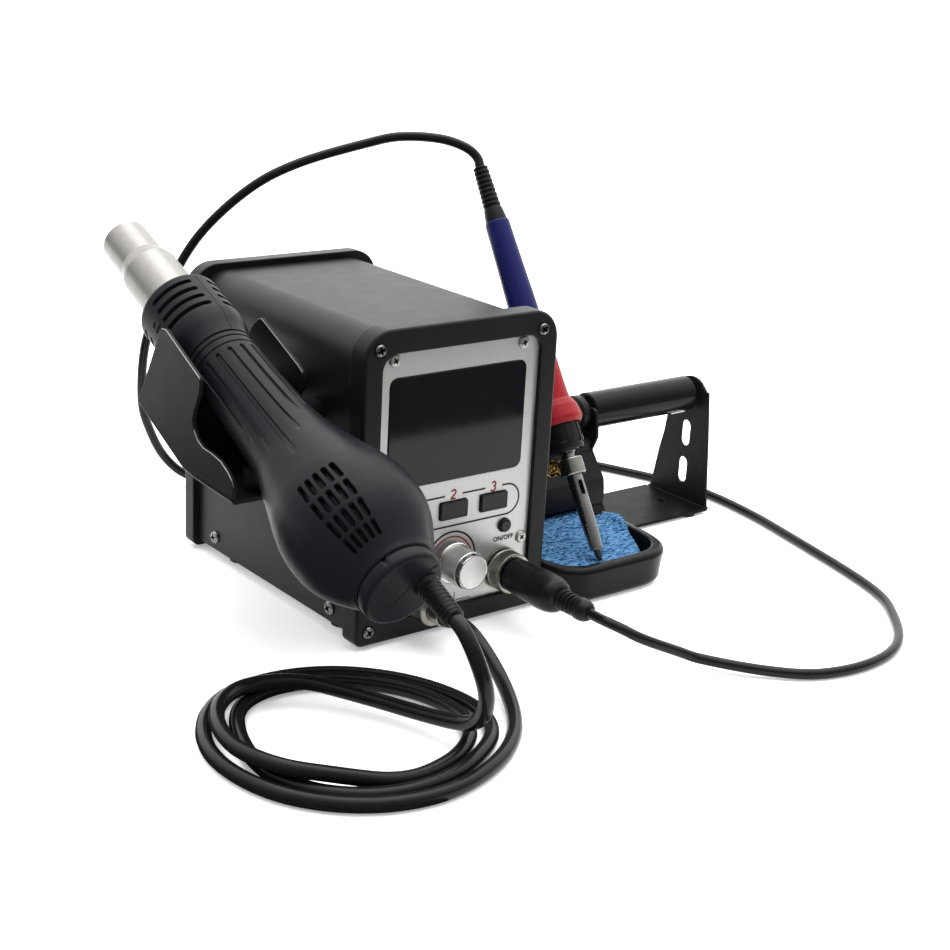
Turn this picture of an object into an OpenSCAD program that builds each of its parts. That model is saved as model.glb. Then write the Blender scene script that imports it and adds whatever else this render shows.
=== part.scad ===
// Hot air rework station: control box, hot air gun in its cradle, soldering iron and stand.
// Millimetres, +Z up, the station front faces -Y.

/* [Station] */
// Width of the front and rear bezels
station_width = 105; // [90:1:130]
// Height of the bezels
bezel_height = 141.6; // [120:0.1:160]
// Gap between the bezels and the table
foot_gap = 1.6; // [0.5:0.1:6]
// Depth of the box from front bezel to rear bezel
station_depth = 152.4; // [130:0.1:180]
// Thickness of the front bezel from front to back
front_bezel_depth = 11; // [8:0.5:16]
// Thickness of the rear bezel from front to back
rear_bezel_depth = 9; // [7:0.5:14]
// Step from the bezel edge in to the sheet cover
cover_inset = 3.2; // [1:0.1:6]
// Thickness of the sheet cover
sheet = 1.2; // [0.8:0.1:2]
// Radius of the two top corners of the bezels
bezel_top_radius = 13.5; // [6:0.5:20]
// Radius of the two bottom corners of the bezels
bezel_bottom_radius = 4; // [2:0.5:8]
// Radius of a rubber foot
foot_radius = 6.3; // [4:0.1:9]

/* [Front panel] */
// Half width of the opening in the front bezel
opening_half = 43; // [38:0.5:46]
// Radius of the top corners of the bezel opening
opening_radius = 7.5; // [4:0.5:11]
// Depth of the panel face behind the bezel face
panel_inset = 2.1; // [1:0.1:4]
// Thickness of the silver panel
panel_thickness = 1.5; // [1:0.1:2.5]
// Width of one preset button
button_width = 14.9; // [10:0.1:18]
// Height of one preset button
button_height = 8; // [5:0.1:10]
// Distance between neighbouring preset buttons
button_pitch = 22.7; // [18:0.1:26]
// Height of the preset buttons above the table
button_z = 56.7; // [50:0.1:62]
// Radius of the power button
power_radius = 3.15; // [2:0.05:4]
// Travel of the buttons
button_travel = 1.2; // [0.6:0.1:1.5]
// Radius of the air knob at its front
knob_radius = 8.6; // [6:0.1:10]
// Radius of the knob skirt
knob_skirt_radius = 9.8; // [8:0.1:12]
// Length of the knob
knob_length = 15.6; // [10:0.1:20]

/* [Gun] */
// Tilt of the gun axis, tail down, degrees from level
gun_tilt = 22.155; // [20:0.005:24]
// Radius of the narrow nozzle tube
nozzle_radius = 10.9; // [8:0.1:12]
// Bore radius of the narrow nozzle tube
nozzle_bore = 9.9; // [7:0.1:11]
// Radius of the wide heater tube
heater_tube_radius = 13; // [12:0.1:15]
// Wall thickness of the plastic shells
shell_wall = 2; // [1.5:0.1:3]

/* [Iron] */
// Lean of the iron to the rear, degrees from upright
iron_lean = 32.3; // [25:0.1:40]
// Radius of the iron barrel
barrel_radius = 3.75; // [3:0.05:4.5]
// Radius of the knurled nut
nut_radius = 6.1; // [5.5:0.1:7]
// Bore radius of the rest tube
rest_bore = 7.1; // [6.8:0.1:8]

/* [Stand] */
// Thickness of the bent sheet of the stand
stand_sheet = 1.6; // [1:0.1:2.5]
// Radius of the solder reel roller
roller_radius = 9.65; // [7:0.05:12]
// Width of the two slots in the right upright
slot_width = 6.8; // [5:0.1:8]
// Height of the sponge tray rim
tray_height = 18.5; // [14:0.5:24]
// Wall thickness of the tray
tray_wall = 2.4; // [1.6:0.1:3.5]
// Height of the sponge top above the table
sponge_top = 15.8; // [10:0.1:16]

/* [Cords] */
// Diameter of the air hose and lead of the gun
hose_diameter = 6.4; // [5:0.1:9]
// Diameter of the iron lead
iron_cord_diameter = 4.8; // [4:0.1:6]

/* [Hidden] */
// What to draw
// Move of the whole part so that the origin is under the middle
shift_x = -52.3;
// Move of the whole part front to back
shift_y = -28.7;
// Left and right faces of the bezels
hw = station_width / 2;
// Bottom of the bezels
bz0 = foot_gap;
// Top of the bezels
bz1 = foot_gap + bezel_height;
// Half width of the sheet cover
cw = hw - cover_inset;
// Bottom of the sheet cover
cz0 = 5;
// Top of the sheet cover
cz1 = bz1 - cover_inset;
// Front of the rear bezel
ry0 = station_depth - rear_bezel_depth;
// Front face and back face of the panel
py0 = panel_inset;
py1 = panel_inset + panel_thickness;
// Opening bottom and top
oz0 = 11;
oz1 = 132.4;
// Nozzle end centre
gun_a = [-84, 150.3, 156.1];
// Iron tip
iron_t = [85.3, -4.4, 17];
// Preset button centres, left to right
button_x = [-23.65, -0.95, 21.75];
// Panel screw places
panel_screw_at = [[-36, 129.2], [33.9, 129.2], [-39.7, 36], [39.4, 36.3]];
// Bezel screw places
bezel_screw_at = [[-45, 134.9], [43.2, 134.6], [-46.2, 8.3], [45.6, 8.1]];
// Side screw places, front to back and height
side_screw_at = [[25.5, 11.5], [127, 11.5]];
// Gun outline, distance from the nozzle end and radius
gun_outer = [[55.5, 18.6], [58, 19], [80, 19], [90, 17], [95, 16.2], [131, 16.5], [142, 17], [153, 18], [163, 19.6], [173, 22.3], [183, 25.3], [193, 28.4], [206, 29.9], [215, 29.1], [222, 26.8], [227, 24], [232, 21], [236, 18.6], [239, 17.6]];
// Route of the gun hose from the gun tail through its coil to the gland
hose_route = [[-74.5, -95.6, 57.05], [-74.5, -101.1, 54.8], [-74, -107, 48.5], [-71.5, -110.5, 38.5], [-69, -110.5, 29.5], [-67, -107, 20.5], [-66, -100, 13.5], [-66.5, -90, 9.5], [-70, -74, 7], [-77, -56, 6.5], [-86, -41, 7.5], [-97, -29, 9.5], [-109, -22.5, 10], [-121, -20.5, 10], [-132, -25, 10], [-141, -34, 10], [-147, -47, 10], [-149.5, -62, 10], [-147, -76, 10.2], [-141, -88, 10.2], [-132, -96.5, 9.5], [-121, -102, 7], [-110, -106, 4.5], [-98, -108, 3.4], [-84, -106, 3.4], [-72, -101, 3.4], [-61, -92, 3.4], [-54.5, -80, 3.4], [-53, -67, 3.4], [-57, -50, 3.4], [-66, -36, 3.4], [-78, -25, 3.4], [-91, -18.5, 3.4], [-104, -16.5, 3.4], [-117, -19.5, 3.4], [-127, -27, 3.4], [-134, -38, 3.4], [-139.5, -52, 3.4], [-142.5, -66, 3.4], [-142.5, -80, 3.4], [-137, -95, 3.4], [-127, -106, 3.4], [-114, -113, 3.4], [-99, -115.5, 3.4], [-83, -113.5, 3.4], [-68, -107, 3.4], [-55, -98, 3.4], [-47, -86, 3.4], [-44.5, -72, 3.4], [-47, -56, 3.4], [-54, -40, 3.4], [-65, -26, 3.4], [-79, -15.5, 3.4], [-95, -9.8, 3.4], [-111, -9, 3.4], [-126, -13, 3.4], [-139, -23, 3.4], [-149, -38, 3.4], [-154, -55, 3.4], [-153.5, -73, 3.4], [-148, -91, 3.4], [-137, -106, 3.4], [-122, -117, 3.4], [-105, -122.5, 3.4], [-88, -122.5, 3.4], [-71, -117.5, 3.4], [-56, -109.5, 3.4], [-43, -98, 3.6], [-33, -84, 4.5], [-26, -69, 7.5], [-22, -54, 12.5], [-20.5, -41, 17.3], [-20.5, -33, 18.8], [-20.5, -27, 18.8]];
// Route of the iron lead from the handle over and behind the box and round to the plug
iron_route = [[85.3, 103.9, 188.35], [85.3, 106.7, 192.8], [81, 111, 197.5], [71, 119, 201], [58, 134, 200.5], [46, 146, 196], [17.5, 162, 185.5], [-4, 174, 172], [-22, 192, 147], [-33, 205, 118], [-40, 215.5, 89], [-37.3, 226, 54], [-30.5, 230, 35], [-21.5, 231.5, 18.5], [-10.5, 228, 7.4], [4, 226, 3.2], [26, 227.5, 2.6], [60, 232, 2.6], [98, 230, 2.6], [135, 218, 2.6], [165, 200, 2.6], [190, 173, 2.6], [209, 145, 2.6], [231, 92, 2.6], [234, 64, 2.6], [231, 34, 2.6], [225, 5, 2.6], [205, -72, 2.6], [185, -103, 2.6], [160, -125, 2.6], [132, -132, 2.6], [104, -127, 2.6], [84, -112, 3.4], [66, -93, 5.5], [56.5, -89, 9.5], [38, -84, 18], [32, -78, 21.5], [29, -72, 23], [28.5, -66, 23.1], [28.5, -60, 23.1]];

// ---- helpers ----
module F() { translate([shift_x, shift_y, 0]) children(); }
module bx(x0, x1, y0, y1, z0, z1) { translate([x0, y0, z0]) cube([x1 - x0, y1 - y0, z1 - z0]); }
module cy(x, z, r, y0, y1, fn = 48) { translate([x, y0, z]) rotate([-90, 0, 0]) cylinder(h = y1 - y0, r = r, $fn = fn); }
module cx(y, z, r, x0, x1, fn = 48) { translate([x0, y, z]) rotate([0, 90, 0]) cylinder(h = x1 - x0, r = r, $fn = fn); }
module cz(x, y, r, z0, z1, fn = 48) { translate([x, y, z0]) cylinder(h = z1 - z0, r = r, $fn = fn); }
module plate(xh, z0, z1, y0, y1, rt, rb) {
  bx(-xh, xh, y0, y1, z0 + rb, z1 - rt);
  bx(-xh + rt, xh - rt, y0, y1, z1 - rt - 1, z1);
  bx(-xh + rb, xh - rb, y0, y1, z0, z0 + rb + 1);
  for (s = [-1, 1]) { cy(s * (xh - rt), z1 - rt, rt, y0, y1, 64); cy(s * (xh - rb), z0 + rb, rb, y0, y1, 48); }
}
module rbox(x0, x1, z0, z1, y0, y1, r) { translate([(x0 + x1) / 2, 0, 0]) plate((x1 - x0) / 2, z0, z1, y0, y1, r, r); }
module yz(pts, x0, x1) { translate([x0, 0, 0]) rotate([90, 0, 90]) linear_extrude(height = x1 - x0) polygon(pts); }
module spin_y(x, y, z, pts, fn = 64) { translate([x, y, z]) rotate([90, 0, 0]) rotate_extrude($fn = fn) polygon(pts); }
module G() { translate(gun_a) rotate([90 + gun_tilt, 0, 0]) children(); }
module I() { translate(iron_t) rotate([-iron_lean, 0, 0]) children(); }
module rev(pts, fn = 64) { rotate_extrude($fn = fn) polygon(pts); }
module gun_solid(c) { rev(concat([[0, gun_outer[0][0] - c]], [for (p = gun_outer) [p[1] + c, p[0]]], [[0, gun_outer[18][0]]])); }
function unit(v) = v / norm(v);
function tang(P, i) = i == 0 ? unit(P[1] - P[0]) : i == len(P) - 1 ? unit(P[i] - P[i - 1]) : unit(unit(P[i + 1] - P[i]) + unit(P[i] - P[i - 1]));
function norms(P) = [for (i = 0, n = unit(cross(tang(P, 0), [1, 0.01, 0.02])); i < len(P); i = i + 1, n = i < len(P) ? unit(n - (n * tang(P, i)) * tang(P, i)) : n) n];
module tube(P, r, sides = 8) {
  m = len(P);
  N = norms(P);
  V = [for (i = [0:m - 1]) let (t = tang(P, i), n = N[i], b = cross(t, n)) for (k = [0:sides - 1]) P[i] + r * cos(360 * k / sides) * n + r * sin(360 * k / sides) * b];
  W = [for (i = [0:m - 2]) for (k = [0:sides - 1]) each [[i * sides + k, (i + 1) * sides + k, (i + 1) * sides + (k + 1) % sides], [i * sides + k, (i + 1) * sides + (k + 1) % sides, i * sides + (k + 1) % sides]]];
  polyhedron(points = V, faces = concat(W, [[for (k = [0:sides - 1]) k]], [[for (k = [sides - 1:-1:0]) (m - 1) * sides + k]]));
}

// ---- station ----
module cover_shell() color([0.06, 0.06, 0.07]) F() difference() {
  plate(cw, cz0, cz1, front_bezel_depth, ry0, 15, 0.01);
  plate(cw - sheet, cz0 - 2, cz1 - sheet, front_bezel_depth - 1, ry0 + 1, 15 - sheet, 0.01);
  for (p = side_screw_at) cx(p[0], p[1], 1.55, -cw - 1, cw + 1);
  for (p = [[40, 100], [62, 106]]) cx(p[0], p[1], 2.05, -cw - 1, -cw + 3);
}
module base_pan() color([0.55, 0.56, 0.58]) F() difference() {
  union() {
    bx(-cw + sheet, cw - sheet, front_bezel_depth, ry0, cz0, cz0 + 1.2);
    for (s = [-1, 1]) translate([s * (cw - sheet - 0.6), 0, 0]) bx(-0.6, 0.6, front_bezel_depth, ry0, cz0, 20);
    for (x = [-25, 25]) for (y = [62, 98]) cz(x, y, 3, cz0, 9);
  }
  for (p = side_screw_at) cx(p[0], p[1], 1.55, -cw - 1, cw + 1);
  for (x = [-38, 38]) for (y = [30, 120]) cz(x, y, 1.6, 4, 8);
}
module front_bezel() color([0.07, 0.07, 0.08]) F() difference() {
  plate(hw, bz0, bz1, 0, front_bezel_depth, bezel_top_radius, bezel_bottom_radius);
  plate(opening_half, oz0, oz1, -1, front_bezel_depth + 1, opening_radius, 3);
  plate(opening_half + 1.3, oz0 - 1.3, oz1 + 1.3, py0, front_bezel_depth + 1, opening_radius + 1, 3);
  for (p = bezel_screw_at) cy(p[0], p[1], 1.5, -1, 9.5);
}
module rear_bezel() color([0.07, 0.07, 0.08]) F() difference() {
  plate(hw, bz0, bz1, ry0, station_depth, bezel_top_radius, bezel_bottom_radius);
  plate(opening_half, oz0, oz1, ry0 - 1, station_depth + 1, opening_radius, 3);
  plate(opening_half + 1.3, oz0 - 1.3, oz1 + 1.3, ry0 - 1, station_depth - 3.4, opening_radius + 1, 3);
  for (p = bezel_screw_at) cy(p[0], p[1], 1.5, ry0 + 1, station_depth + 1);
}
module rear_panel() color([0.1, 0.1, 0.11]) F() difference() {
  plate(opening_half + 1, oz0 - 1, oz1 + 1, station_depth - 4.9, station_depth - 3.4, opening_radius + 0.7, 2.7);
  bx(-29.1, -0.9, station_depth - 8, station_depth, 20.9, 41.1);
  bx(12.9, 27.1, station_depth - 8, station_depth, 20.9, 41.1);
  for (i = [0:7]) rbox(-31.5 + i * 9 - 2, -31.5 + i * 9 + 2, 70, 110, station_depth - 8, station_depth, 1.9);
}
module front_panel() color([0.72, 0.72, 0.74]) F() difference() {
  plate(opening_half + 1, oz0 - 1, oz1 + 1, py0, py1, opening_radius + 0.7, 2.7);
  rbox(-38, 36.4, 71, 121.4, py0 - 1, py1 + 1, 4);
  for (x = button_x) rbox(x - button_width / 2 - 0.3, x + button_width / 2 + 0.3, button_z - button_height / 2 - 0.3, button_z + button_height / 2 + 0.3, py0 - 1, py1 + 1, 0.9);
  cy(29, 43.9, power_radius + 0.3, py0 - 1, py1 + 1);
  cy(-1, 32.2, 3.5, py0 - 1, py1 + 1);
  cy(28.5, 23.1, 7.35, py0 - 1, py1 + 1);
  cy(-20.5, 18.8, 4.6, py0 - 1, py1 + 1);
  for (p = panel_screw_at) cy(p[0], p[1], 1.25, py0 - 1, py1 + 1);
}
module display_window() color([0.02, 0.02, 0.03]) F() {
  rbox(-37.9, 36.3, 71.1, 121.3, py0 - 0.5, py1, 3.9);
  rbox(-39.5, 37.9, 69.5, 122.9, py1, py1 + 0.8, 4);
}
module display_module() color([0.1, 0.35, 0.2]) F() {
  bx(-37, 35.4, py1 + 0.8, py1 + 5.8, 72, 120.4);
  bx(-39.5, 37.9, py1 + 5.8, py1 + 7.4, 68.5, 123.5);
}
module panel_screws() color([0.75, 0.75, 0.77]) F() for (p = panel_screw_at) difference() {
  union() { cy(p[0], p[1], 2.95, py0 - 1.3, py0); cy(p[0], p[1], 1.2, py0 - 0.1, py1 + 2.5); }
  bx(p[0] - 1.8, p[0] + 1.8, py0 - 2, py0 - 0.6, p[1] - 0.3, p[1] + 0.3);
  bx(p[0] - 0.3, p[0] + 0.3, py0 - 2, py0 - 0.6, p[1] - 1.8, p[1] + 1.8);
}
module cross_screws(y, dir) for (p = bezel_screw_at) difference() {
  union() { cy(p[0], p[1], 2.9, min(y, y + dir * 1.3), max(y, y + dir * 1.3)); cy(p[0], p[1], 1.45, min(y, y - dir * 7), max(y, y - dir * 7)); }
  bx(p[0] - 1.8, p[0] + 1.8, min(y + dir * 0.6, y + dir * 3), max(y + dir * 0.6, y + dir * 3), p[1] - 0.35, p[1] + 0.35);
  bx(p[0] - 0.35, p[0] + 0.35, min(y + dir * 0.6, y + dir * 3), max(y + dir * 0.6, y + dir * 3), p[1] - 1.8, p[1] + 1.8);
}
module front_bezel_screws() color([0.08, 0.08, 0.09]) F() cross_screws(0, -1);
module rear_bezel_screws() color([0.08, 0.08, 0.09]) F() cross_screws(station_depth, 1);
module side_screws() color([0.75, 0.75, 0.76]) F() for (s = [-1, 1]) for (p = side_screw_at) {
  difference() {
    if (s < 0) cx(p[0], p[1], 3.2, -cw - 1.7, -cw); else cx(p[0], p[1], 3.2, cw, cw + 1.7);
    translate([s * (cw + 1.6), p[0], p[1]]) cube([1.6, 4, 0.7], center = true);
    translate([s * (cw + 1.6), p[0], p[1]]) cube([1.6, 0.7, 4], center = true);
  }
  if (s < 0) cx(p[0], p[1], 1.5, -cw - 0.1, -cw + 5); else cx(p[0], p[1], 1.5, cw - 5, cw + 0.1);
}
module station_feet() color([0.05, 0.05, 0.05]) F() for (x = [-38, 38]) for (y = [30, 120]) { cz(x, y, foot_radius, 0, cz0); cz(x, y, 1.55, cz0 - 0.1, cz0 + 2); }

// ---- front controls ----
module button(x) F() {
    rbox(x - button_width / 2, x + button_width / 2, button_z - button_height / 2, button_z + button_height / 2, 0.5, py1 + 0.6, 0.7);
    bx(x - button_width / 2 - 1, x + button_width / 2 + 1, py1 + 0.3, py1 + 1.5, button_z - button_height / 2 - 1, button_z + button_height / 2 + 1);
    cy(x, button_z, 2, py1 + 1, py1 + 3.4);
}
module channel_button_1() color([0.05, 0.05, 0.055]) button(button_x[0]);
module channel_button_2() color([0.05, 0.05, 0.055]) button(button_x[1]);
module channel_button_3() color([0.05, 0.05, 0.055]) button(button_x[2]);
module power_button() color([0.05, 0.05, 0.055]) F() { cy(29, 43.9, power_radius, 0.2, py1 + 0.6); cy(29, 43.9, power_radius + 1.4, py1 + 0.3, py1 + 1.5); cy(29, 43.9, 1.5, py1 + 1, py1 + 3.4); }
module air_knob() color([0.72, 0.72, 0.74]) F() spin_y(-1, 0.6, 32.2, [[3.05, 0], [knob_skirt_radius - 0.6, 0], [knob_skirt_radius, 0.6], [knob_skirt_radius, 2.1], [knob_skirt_radius - 0.4, 2.5], [knob_radius - 0.4, 2.5], [knob_radius, 3], [knob_radius, knob_length - 2.7], [knob_radius - 0.4, knob_length - 0.5], [knob_radius - 0.8, knob_length], [0, knob_length], [0, 12.2], [3.05, 12.2]]);
module knob_pot() color([0.5, 0.5, 0.52]) F() { cy(-1, 32.2, 3, -11, py1 + 1); cy(-1, 32.2, 3.4, py0 - 0.3, py1 + 1); cy(-1, 32.2, 8, py1, py1 + 9); }
module iron_socket() color([0.7, 0.7, 0.72]) F() difference() {
  union() { cy(28.5, 23.1, 7.3, -5.2, py1 + 12); cy(28.5, 23.1, 10.1, 0.9, py0); cy(28.5, 23.1, 9.2, py1, py1 + 2.2); }
  cy(28.5, 23.1, 5.4, -6, 8);
}
module plug_ring() color([0.75, 0.75, 0.77]) F() difference() {
  cy(28.5, 23.1, 9.6, -8, 0.5, 64);
  cy(28.5, 23.1, 7.4, -5.7, 1);
  cy(28.5, 23.1, 6.95, -9, 1);
}
module iron_plug() color([0.05, 0.05, 0.055]) F() {
  spin_y(28.5, 0, 23.1, [[0, 0], [5.3, 0], [5.3, 5.2], [6.85, 5.2], [6.85, 8.3], [8, 8.6], [8.2, 14], [8.7, 24], [8.9, 30], [8.7, 34.2], [8, 37.4], [6.6, 39.8], [5.2, 40.9], [4.9, 41.4], [3.9, 41.6], [3.9, 42.5], [4.9, 42.7], [4.9, 44.2], [3.9, 44.4], [3.9, 45.3], [4.8, 45.5], [4.8, 47], [3.9, 47.2], [3.9, 48.1], [4.7, 48.3], [4.7, 49.8], [3.8, 50], [3.8, 50.9], [4.7, 51.1], [5.1, 52.4], [5.1, 56.4], [4.4, 58.8], [3.4, 60], [0, 60]]);
}
module hose_gland() color([0.74, 0.74, 0.76]) F() difference() {
  union() {
    cy(-20.5, 18.8, 7, -5, py0); cy(-20.5, 18.8, 8, -14, -5); cy(-20.5, 18.8, 5.5, -22, -14); cy(-20.5, 18.8, 4.5, -5, py1 + 6); cy(-20.5, 18.8, 6.8, py1, py1 + 3.5);
  }
  for (i = [0:11]) translate([-20.5, 0, 18.8]) rotate([0, i * 30, 0]) translate([8, 0, 0]) cy(0, 0, 0.6, -12.6, -6.4, 16);
  cy(-20.5, 18.8, 3.4, -23, py1 + 7);
}
module gland_relief() color([0.06, 0.06, 0.06]) F() spin_y(-20.5, 0, 18.8, [[0, 14], [3.35, 14], [3.35, 22], [4.8, 22], [4.6, 24.4], [4, 24.6], [4, 25.4], [4.3, 25.6], [4, 27], [0, 27]]);

// ---- inside and rear ----
module transformer() color([0.35, 0.3, 0.25]) F() {
  bx(-30, 30, 58, 102, 9, 57);
  for (y = [[46, 58], [102, 114]]) bx(-22, 22, y[0], y[1], 15, 51);
}
module main_board() color([0.1, 0.35, 0.18]) F() {
  difference() {
    bx(-41, 41, py1 + 9, py1 + 10.6, 13, 66);
    bx(20.5, 36.3, 0, 30, 14.6, 32);
    bx(-10, 8, 0, 30, 23, 41.3);
    bx(-29, -12, 0, 30, 12, 27);
  }
  for (x = button_x) bx(x - 3, x + 3, py1 + 5, py1 + 9, button_z - 3, button_z + 3);
  bx(26, 32, py1 + 5, py1 + 9, 40.9, 46.9);
  for (x = [-38.8, 38.8]) for (z = [17, 63]) cy(x, z, 1.8, py1, py1 + 9, 32);
}
module mains_inlet() color([0.05, 0.05, 0.05]) F() difference() {
  union() { bx(-29, -1, station_depth - 24, station_depth - 3, 21, 41); bx(-31, 1, station_depth - 3.4, station_depth - 1, 18.5, 43.5); }
  bx(-27, -3, station_depth - 20, station_depth, 23.2, 38.8);
}
module main_switch() color([0.05, 0.05, 0.05]) F() difference() {
  union() { bx(13, 27, station_depth - 20, station_depth - 3, 21, 41); bx(11.5, 28.5, station_depth - 3.4, station_depth - 1.4, 19, 43); }
  bx(14.5, 25.5, station_depth - 19, station_depth, 22, 40);
}
module main_rocker() color([0.5, 0.04, 0.04]) F() translate([0, station_depth - 9.5, 31]) rotate([9, 0, 0]) difference() {
  cx(0, 0, 8.7, 14.9, 25.1, 64);
  translate([12, 6.9, 0]) rotate([9, 0, 0]) bx(0, 16, 0, 10, -12, 0.5);
  translate([12, 6.9, 0]) rotate([-9, 0, 0]) bx(0, 16, 0, 10, -0.5, 12);
}

// ---- gun ----
module nozzle_tube() color([0.75, 0.75, 0.77]) F() G() rev([[nozzle_bore, 0], [nozzle_radius, 0], [nozzle_radius, 20], [heater_tube_radius - 1, 24], [heater_tube_radius - 1, 32], [heater_tube_radius - 2, 32], [heater_tube_radius - 2, 24.4], [nozzle_bore, 20.4]], 96);
module heater_tube() color([0.7, 0.7, 0.72]) F() G() rev([[heater_tube_radius - 1, 24], [heater_tube_radius - 0.8, 24], [heater_tube_radius, 26.6], [heater_tube_radius, 66], [heater_tube_radius - 1, 66]], 96);
module heater_core() color([0.85, 0.83, 0.78]) F() G() difference() {
  union() { translate([0, 0, 14]) cylinder(h = 50, r = 8.6, $fn = 48); translate([0, 0, 62]) cylinder(h = 3, r = 11.9, $fn = 48); }
  for (i = [0:5]) rotate([0, 0, i * 60]) translate([5.4, 0, 10]) cylinder(h = 60, r = 1.8, $fn = 24);
  translate([0, 0, 10]) cylinder(h = 60, r = 1.8, $fn = 24);
}
module gun_head() color([0.09, 0.1, 0.12]) F() G() difference() {
  rev([[heater_tube_radius + 0.05, 55.5], [18, 55.5], [19, 57], [19, 80], [17, 90], [16.2, 95], [14.2, 95], [14.9, 90], [17, 79], [17, 57.6], [heater_tube_radius + 0.05, 57.6]], 96);
  for (t = [61, 66.5, 72, 77.5]) for (a = [94, 14, 274, 194]) rotate([0, 0, a]) rotate_extrude(angle = 56, $fn = 96) polygon([[15, t - 1], [21, t - 1], [21, t + 1], [15, t + 1]]);
}
module grip_raw() rev(concat([for (i = [4:18]) [gun_outer[i][1], gun_outer[i][0]]], [[gun_outer[18][1] - shell_wall, 239]], [for (i = [17:-1:4]) [gun_outer[i][1] - shell_wall, gun_outer[i][0]]]), 96);
module grip_cut() {
  for (t = [98.5, 102]) rev([[15.5, t - 0.4], [18, t - 0.4], [18, t + 0.4], [15.5, t + 0.4]], 64);
  for (a = [68, 88, 109, 130, 151, 168, 248, 268, 289, 310, 331, 348]) rotate([0, 0, a]) translate([16.9, 0, 105]) cylinder(h = 44, r = 0.9, $fn = 16);
  for (q = [[200.5, 9], [211, 8], [220.5, 7], [228, 6]]) for (a = [114.5, 122, 130, 137.5, 145, 294.5, 302, 310, 317.5, 325]) rotate([0, 0, a]) translate([26, 0, q[0]]) cube([14, 1.8, q[1]], center = true);
}
module grip_shell_near() color([0.09, 0.1, 0.12]) F() G() difference() {
  grip_raw();
  grip_cut();
  rotate([0, 0, 40]) translate([-40, -80, 90]) cube([80, 80, 160]);
}
module grip_shell_far() color([0.09, 0.1, 0.12]) F() G() difference() {
  grip_raw();
  grip_cut();
  rotate([0, 0, 40]) translate([-40, 0, 90]) cube([80, 80, 160]);
  for (q = [[120, 16.2], [180, 24.2]]) rotate([0, 0, 310]) translate([0, 0, q[0]]) rotate([0, 90, 0]) cylinder(h = 40, r = 1.6, $fn = 24);
  for (q = [[120, 15.4], [180, 23.2]]) rotate([0, 0, 310]) translate([q[1], 0, q[0]]) rotate([0, 90, 0]) cylinder(h = 20, r = 3, $fn = 24);
}
module gun_screws() color([0.5, 0.5, 0.52]) F() G() for (q = [[120, 15.4], [180, 23.2]]) rotate([0, 0, 310]) { translate([q[1], 0, q[0]]) rotate([0, 90, 0]) cylinder(h = 0.9, r = 2.8, $fn = 24); translate([q[1] - 10, 0, q[0]]) rotate([0, 90, 0]) cylinder(h = 10.1, r = 1.5, $fn = 24); }
module gun_tail_cap() color([0.09, 0.1, 0.12]) F() G() difference() {
  rev([[0, 239], [17.5, 239], [17.5, 243], [17.1, 244.4], [16, 245], [0, 245]], 96);
  translate([0, 0, 237]) cylinder(h = 5, r = 15.2, $fn = 64);
  translate([9.5, 1, 236]) cylinder(h = 12, r = 3.95, $fn = 32);
}
module gun_relief() color([0.05, 0.05, 0.05]) F() G() translate([9.5, 1, 0]) rev(concat([[0, 238], [3.9, 238], [3.9, 245], [5.2, 245], [5, 246.4]], [for (k = [0:8]) each [[4.95 - k * 0.07, 246.8 + k * 2], [4.3 - k * 0.07, 247 + k * 2], [4.3 - k * 0.07, 247.7 + k * 2], [4.95 - k * 0.07, 247.9 + k * 2]]], [[4.3, 264.6], [4, 265], [0, 265]]), 40);
module gun_fan() color([0.2, 0.2, 0.22]) F() G() {
  difference() { translate([0, 0, 203]) cylinder(h = 9, r = 7, $fn = 40); translate([0, 0, 202]) cylinder(h = 12, r = 1.56, $fn = 24); }
  difference() { translate([0, 0, 211]) cylinder(h = 1.2, r = 23, $fn = 64); translate([0, 0, 210]) cylinder(h = 4, r = 6.5, $fn = 40); }
  for (i = [0:8]) rotate([0, 0, i * 40]) translate([6, -0.6, 204]) cube([16.5, 1.2, 7.5]);
}
module fan_motor() color([0.6, 0.6, 0.62]) F() G() {
  translate([0, 0, 213]) cylinder(h = 19, r = 9, $fn = 48);
  translate([0, 0, 203.5]) cylinder(h = 10, r = 1.5, $fn = 24);
  for (i = [0:2]) rotate([0, 0, i * 120 + 70]) translate([8, -1.5, 216]) cube([15.2, 3, 3]);
}
module gun_hose() color([0.05, 0.05, 0.05]) F() tube(hose_route, hose_diameter / 2, 8);

// ---- cradle ----
wing_left = [[72.5, 133.8], [71.1, 135.3], [67.5, 135.6], [38.7, 121.6], [38.3, 118.8], [38.7, 115.2], [40.7, 110.8], [42.8, 106.8], [44.5, 102], [43.4, 98], [40.3, 94.5], [36.1, 92.6], [28.7, 92.1], [21.3, 90.8], [15.6, 87.8], [12.4, 85.3], [10.8, 82.3], [11.6, 78.2], [12.7, 74.3], [31.1, 75.3], [43.7, 76], [53.8, 77.6], [74.3, 86.7], [84.3, 91.2], [94, 96.5], [83, 115]];
wing_right = [[69.1, 135], [66.6, 135.9], [36.5, 122.1], [32.9, 119.8], [32, 116.4], [33.4, 111.7], [35.1, 109.6], [36.5, 104], [35, 98], [30, 94], [21.3, 91], [15.6, 87.8], [12.4, 85.3], [10.8, 82.3], [11.6, 78.2], [12.7, 74.3], [31.1, 75.3], [43.7, 76], [53.8, 77.6], [74.3, 86.7], [84.3, 91.2], [94, 96.5], [83, 113], [75.3, 129.4], [72.3, 132.3]];
floor_strip = [[12.7, 74.3], [43.7, 76], [53.8, 77.6], [94, 96.5], [93.1, 98.3], [53.2, 79.6], [43.5, 78], [12.6, 76.3]];
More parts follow.
